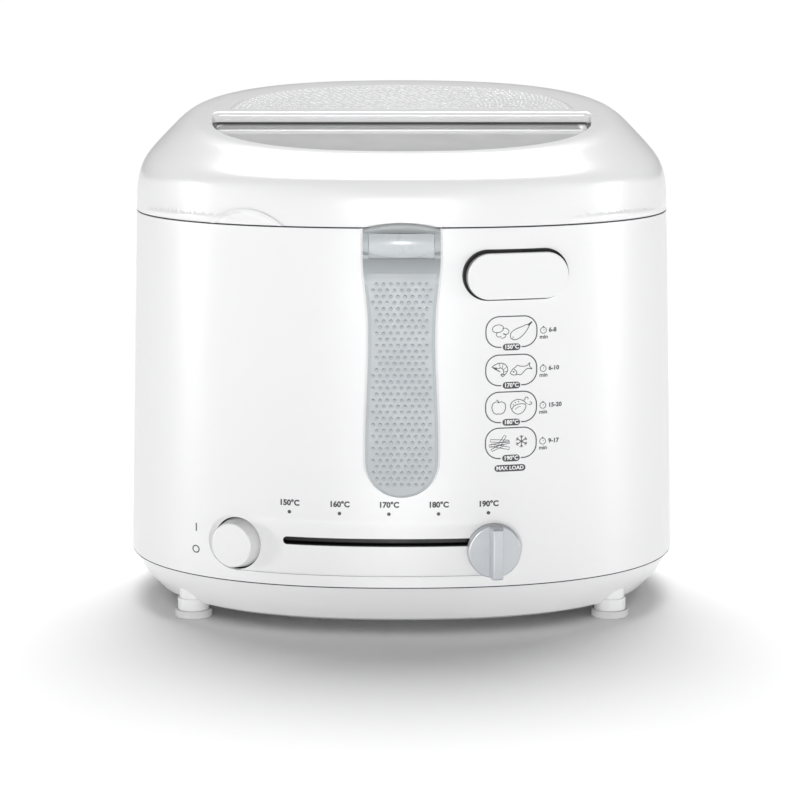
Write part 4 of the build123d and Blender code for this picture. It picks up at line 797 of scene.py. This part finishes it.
GUIDE_X = 56.3
GUIDE = (  # height of each outline's middle, its pictures, its temperature and its minutes
    (160.7, potatoes_and_courgette, "150\u00b0C", "6-8"),
    (140.9, shrimp_and_fish, "170\u00b0C", "6-10"),
    (121.7, apple_and_drumstick, "180\u00b0C", "15-20"),
    (103.0, chips_and_snowflake, "190\u00b0C", "9-17"),
)
OUTLINE_HALF_W, OUTLINE_HALF_H, OUTLINE_R, OUTLINE_GAP, OUTLINE_LINE = 13.2, 7.9, 6.9, 5.2, 0.6
PILL_SHIFT, PILL_HALF_H, TEMPERATURE_PILL, LOAD_PILL = 0.1, 1.75, 4.6, 8.1
CLOCK_X, CLOCK_R, MINUTES_X, UNIT_X, UNIT_DROP = 16.6, 1.55, 19.4, 16.8, 3.4
LOAD_X, LOAD_Z = -0.4, 89.9
PALE_PROUD = 2.2  # pale letters stand this many times prouder than the dark ink under them
TEXT_H, SMALL_TEXT_H = 2.1, 2.0


def open_outline():
    """Rounded rectangle, left open in the middle of its lower edge for the pill."""
    outline = stadium(OUTLINE_HALF_W, OUTLINE_HALF_H, OUTLINE_R, 12)
    low = 0.1 - OUTLINE_HALF_H
    first = next(i for i, (x, z) in enumerate(outline) if z < low and x > OUTLINE_GAP)
    ordered = outline[first:] + outline[:first]
    kept = [(x, z) for x, z in ordered if not (z < low and abs(x) < OUTLINE_GAP)]
    line = [(OUTLINE_GAP, -OUTLINE_HALF_H)] + kept + [(-OUTLINE_GAP, -OUTLINE_HALF_H)]
    return ribbon(line, OUTLINE_LINE)


def food_guide():
    """Four outlined pictures, each with a temperature in a dark pill and a range of minutes."""
    dark, pale = [], []
    for z, pictures, temperature, minutes in GUIDE:
        pill_x, pill_z = GUIDE_X + PILL_SHIFT, z - OUTLINE_HALF_H
        clock_x = GUIDE_X + CLOCK_X
        dark.append(moved(open_outline(), GUIDE_X, z))
        dark += [moved(shape, GUIDE_X, z) for shape in pictures()]
        dark.append(moved(pill(TEMPERATURE_PILL, PILL_HALF_H), pill_x, pill_z))
        pale.append(moved(words(temperature, TEXT_H, PALE_PROUD, 0.09), pill_x, pill_z))
        dark.append(moved(oval(0, 0, CLOCK_R, CLOCK_R, width=0.35), clock_x, z))
        dark.append(moved(ribbon([(0, 1.6), (0, 2.2)], 0.7), clock_x, z))
        dark.append(moved(ribbon([(0, 0), (0.5, 0.5)], 0.3), clock_x, z))
        text = words(minutes, 2.2, 1, 0.12)
        wide = max(x for x, _ in text[0])
        dark.append(moved(text, GUIDE_X + MINUTES_X + wide, z))
        dark.append(moved(words("min", TEXT_H, 1, 0.08), GUIDE_X + UNIT_X, z - UNIT_DROP))
    dark.append(moved(pill(LOAD_PILL, PILL_HALF_H, 24), GUIDE_X + LOAD_X, LOAD_Z))
    pale.append(moved(words("MAX LOAD", SMALL_TEXT_H, PALE_PROUD, 0.08), GUIDE_X + LOAD_X, LOAD_Z))
    return dark, pale


DOT_R, DOT_Z, SCALE_Z, SCALE_H = 0.95, 66.9, 71.6, 2.9
DOT_X = (-58.1, -32.1, -6.6, 19.0, 44.8)
SIGN_X, SIGN_ON_LOW, SIGN_ON_HIGH, SIGN_OFF_Z = -108.2, 51.6, 55.9, 42.0


def scale_marks():
    """Dots and temperatures above the slider, and the signs beside the power button."""
    dark = []
    for x, value in zip(DOT_X, range(150, 200, 10)):
        turns = [math.radians(t) for t in range(0, 360, 20)]
        dot = [(DOT_R * math.cos(t), DOT_R * math.sin(t)) for t in turns]
        dark.append(moved(filled(dot), x, DOT_Z))
        dark.append(moved(words(str(value) + "\u00b0C", SCALE_H, 1, 0.2), x, SCALE_Z))
    dark.append(ribbon([(SIGN_X, SIGN_ON_LOW), (SIGN_X, SIGN_ON_HIGH)], 0.7))
    dark.append(moved(oval(0, 0, 1.7, 1.8, width=0.65), SIGN_X - 0.3, SIGN_OFF_Z))
    return dark


GUIDE_DARK, GUIDE_PALE = food_guide()
printed("printed_food_guide", GUIDE_DARK, M_INK)
printed("printed_guide_numbers", GUIDE_PALE, M_WHITE_INK)
printed("printed_scale", scale_marks(), M_INK)
# black rings in the lid's and the base's parting lines: painted shade of the gaps
dark_strip("rim_gap_painted_shade", RIM_A, RIM_B, RIM_STRIP_INSETS, RIM_STRIP_Z, (NECK_HALF, HINGE_HALF))
dark_strip("seam_gap_painted_shade", SEAM_A, SEAM_B, SEAM_STRIP_INSETS, SEAM_STRIP_Z)
# black sleeve round the release button: painted shade of the gap
release_well()
# band on the pane: painted reflection of the recess's back wall
pane_border()

# ------------------------------------------------------------------ woven basket

BASKET_Y, BASKET_LOW, BASKET_HIGH = 7, 90.6, 169.4
BASKET_TOP, BASKET_FLOOR = (99.4, 76.4), (91.4, 68.4)
WIRE_R, WEAVE = 0.42, 0.42


def tube(points, radius, closed=False, sides=5):
    """Round wire through points."""
    count = len(points)
    vertices, faces = [], []
    for i, point in enumerate(points):
        before = points[i - 1] if i or closed else point
        after = points[(i + 1) % count] if i < count - 1 or closed else point
        along = (after - before).normalized()
        across = along.cross(Vector((0.31, 0.17, 0.93))).normalized()
        up = across.cross(along)
        for k in range(sides):
            turn = 2 * math.pi * k / sides
            vertices.append(point + (across * math.cos(turn) + up * math.sin(turn)) * radius)
    for i in range(count if closed else count - 1):
        j = (i + 1) % count
        for k in range(sides):
            m = (k + 1) % sides
            faces.append((i * sides + k, i * sides + m, j * sides + m, j * sides + k))
    if not closed:
        faces.append(tuple(reversed(range(sides))))
        faces.append(tuple((count - 1) * sides + k for k in range(sides)))
    return vertices, faces


def evenly(points, count):
    """Points spaced equally along a closed line."""
    loop = points + points[:1]
    lengths = [0.0]
    for p, q in zip(loop, loop[1:]):
        lengths.append(lengths[-1] + (q - p).length)
    spaced, i = [], 0
    for k in range(count):
        wanted = lengths[-1] * k / count
        while lengths[i + 1] < wanted:
            i += 1
        share = (wanted - lengths[i]) / (lengths[i + 1] - lengths[i])
        spaced.append(loop[i].lerp(loop[i + 1], share))
    return spaced


def basket_ring(height, count):
    share = (height - BASKET_LOW) / (BASKET_HIGH - BASKET_LOW)
    a = BASKET_FLOOR[0] + (BASKET_TOP[0] - BASKET_FLOOR[0]) * share
    b = BASKET_FLOOR[1] + (BASKET_TOP[1] - BASKET_FLOOR[1]) * share
    return evenly(oval_row(a, b, height, BASKET_Y, 0, OVAL_POWER), count)


def woven_basket():
    """Over-and-under wires: rings and uprights in the wall, a grid in the floor."""
    uprights, rings = 112, 17
    gather = Gather()
    heights = [BASKET_LOW + 1.4 + (BASKET_HIGH - BASKET_LOW - 2) * i / (rings - 1) for i in range(rings)]
    rows = [basket_ring(z, uprights) for z in heights]
    centre = Vector((0, BASKET_Y * MM, 0))

    def outwards(point):
        away = point - centre
        return Vector((away.x / BASKET_TOP[0] ** 2, away.y / BASKET_TOP[1] ** 2, 0)).normalized()

    for j, row in enumerate(rows):
        wavy = []
        for i, point in enumerate(row):
            middle = point.lerp(row[(i + 1) % uprights], 0.5)
            side = 1 if (i + j) % 2 else -1
            wavy += [point + outwards(point) * side * WEAVE * MM, middle]
        gather.add(tube(wavy, WIRE_R * MM, True))
    for i in range(uprights):
        wavy = []
        for j, row in enumerate(rows):
            side = -1 if (i + j) % 2 else 1
            wavy.append(row[i] + outwards(row[i]) * side * WEAVE * MM)
            if j < rings - 1:
                wavy.append(row[i].lerp(rows[j + 1][i], 0.5))
        gather.add(tube(wavy, WIRE_R * MM))
    pitch = 5.0
    a, b = BASKET_FLOOR[0] + 0.3, BASKET_FLOOR[1] + 0.3
    floor_z = BASKET_LOW + WIRE_R + 0.5
    for lengthwise, reach, width in ((True, b, a), (False, a, b)):
        wires = int(reach / pitch)
        for k in range(-wires, wires + 1):
            offset = k * pitch
            half = width * max(0, 1 - (abs(offset) / reach) ** OVAL_POWER) ** (1 / OVAL_POWER)
            crossings = int(half / pitch)
            wavy = [(-half, 0)]
            for m in range(-2 * crossings, 2 * crossings + 1):
                bend = 0 if m % 2 else (1 if (m // 2 + k) % 2 else -1)
                wavy.append((m * pitch / 2, bend * WEAVE * (1 if lengthwise else -1)))
            wavy.append((half, 0))
            line = [Vector((u, BASKET_Y + offset, floor_z + w) if lengthwise else
                           (offset, BASKET_Y + u, floor_z + w)) * MM for u, w in wavy]
            gather.add(tube(line, WIRE_R * MM))
    piece = make_piece("woven_basket", gather.vertices, gather.faces, M_WIRE, "basket")
    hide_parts("basket_mesh")


woven_basket()

# ------------------------------------------------------------------ camera, light and floor


CAMERA_DISTANCE, CAMERA_HEIGHT, CAMERA_PITCH = 1.478, 0.3547, 9.56
SENSOR, LENS, SIDE_SHIFT = 36, 120.87, -0.0021
FLOOR_HALF = 30
AMBIENT = 0.17


def make_camera():
    data = bpy.data.cameras.new("camera")
    data.sensor_width = SENSOR
    data.lens = LENS
    data.shift_x = SIDE_SHIFT
    camera = bpy.data.objects.new("camera", data)
    bpy.context.scene.collection.objects.link(camera)
    camera.location = (0, -CAMERA_DISTANCE, CAMERA_HEIGHT)
    camera.rotation_euler = (math.radians(90 - CAMERA_PITCH), 0, 0)
    data.clip_end = 100
    bpy.context.scene.camera = camera


def sun(name, azimuth, elevation, spread, strength):
    """Wide soft light from far away; azimuth 0 is in front, a negative elevation is behind."""
    data = bpy.data.lights.new(name, "SUN")
    data.energy = strength
    data.angle = math.radians(spread)
    light = bpy.data.objects.new(name, data)
    bpy.context.scene.collection.objects.link(light)
    turn, rise = math.radians(azimuth), math.radians(elevation)
    side = -1 if elevation > 0 else 1
    level = math.cos(rise)
    away = Vector((math.sin(turn) * level, side * math.cos(turn) * level, abs(math.sin(rise))))
    light.rotation_euler = away.to_track_quat("Z", "Y").to_euler()


def make_floor():
    mesh = bpy.data.meshes.new("floor")
    corners = [(x * FLOOR_HALF, y * FLOOR_HALF, 0) for x, y in ((-1, -1), (1, -1), (1, 1), (-1, 1))]
    mesh.from_pydata(corners, [], [(0, 1, 2, 3)])
    floor = bpy.data.objects.new("floor", mesh)
    bpy.context.scene.collection.objects.link(floor)
    material, tree, shader = new_material("studio_floor")
    tree.links.new(ramp(tree, noise(tree, 2, 2), (0.945,) * 3, (0.955,) * 3), shader.inputs["Base Color"])
    shader.inputs["Roughness"].default_value = 0.6
    mesh.materials.append(material)


def make_world():
    world = bpy.data.worlds.new("studio")
    world.use_nodes = True
    background = world.node_tree.nodes["Background"]
    background.inputs["Color"].default_value = (1, 1, 1, 1)
    background.inputs["Strength"].default_value = AMBIENT
    bpy.context.scene.world = world


make_camera()
make_floor()
make_world()
sun("sun_top_back", 0, -62, 42, 3.05)
sun("sun_front", 0, 2, 8, 2.2)
sun("sun_left", -84, 2, 8, 1.1)
sun("sun_right", 84, 2, 8, 1.1)
bpy.context.scene.view_settings.view_transform = "Standard"
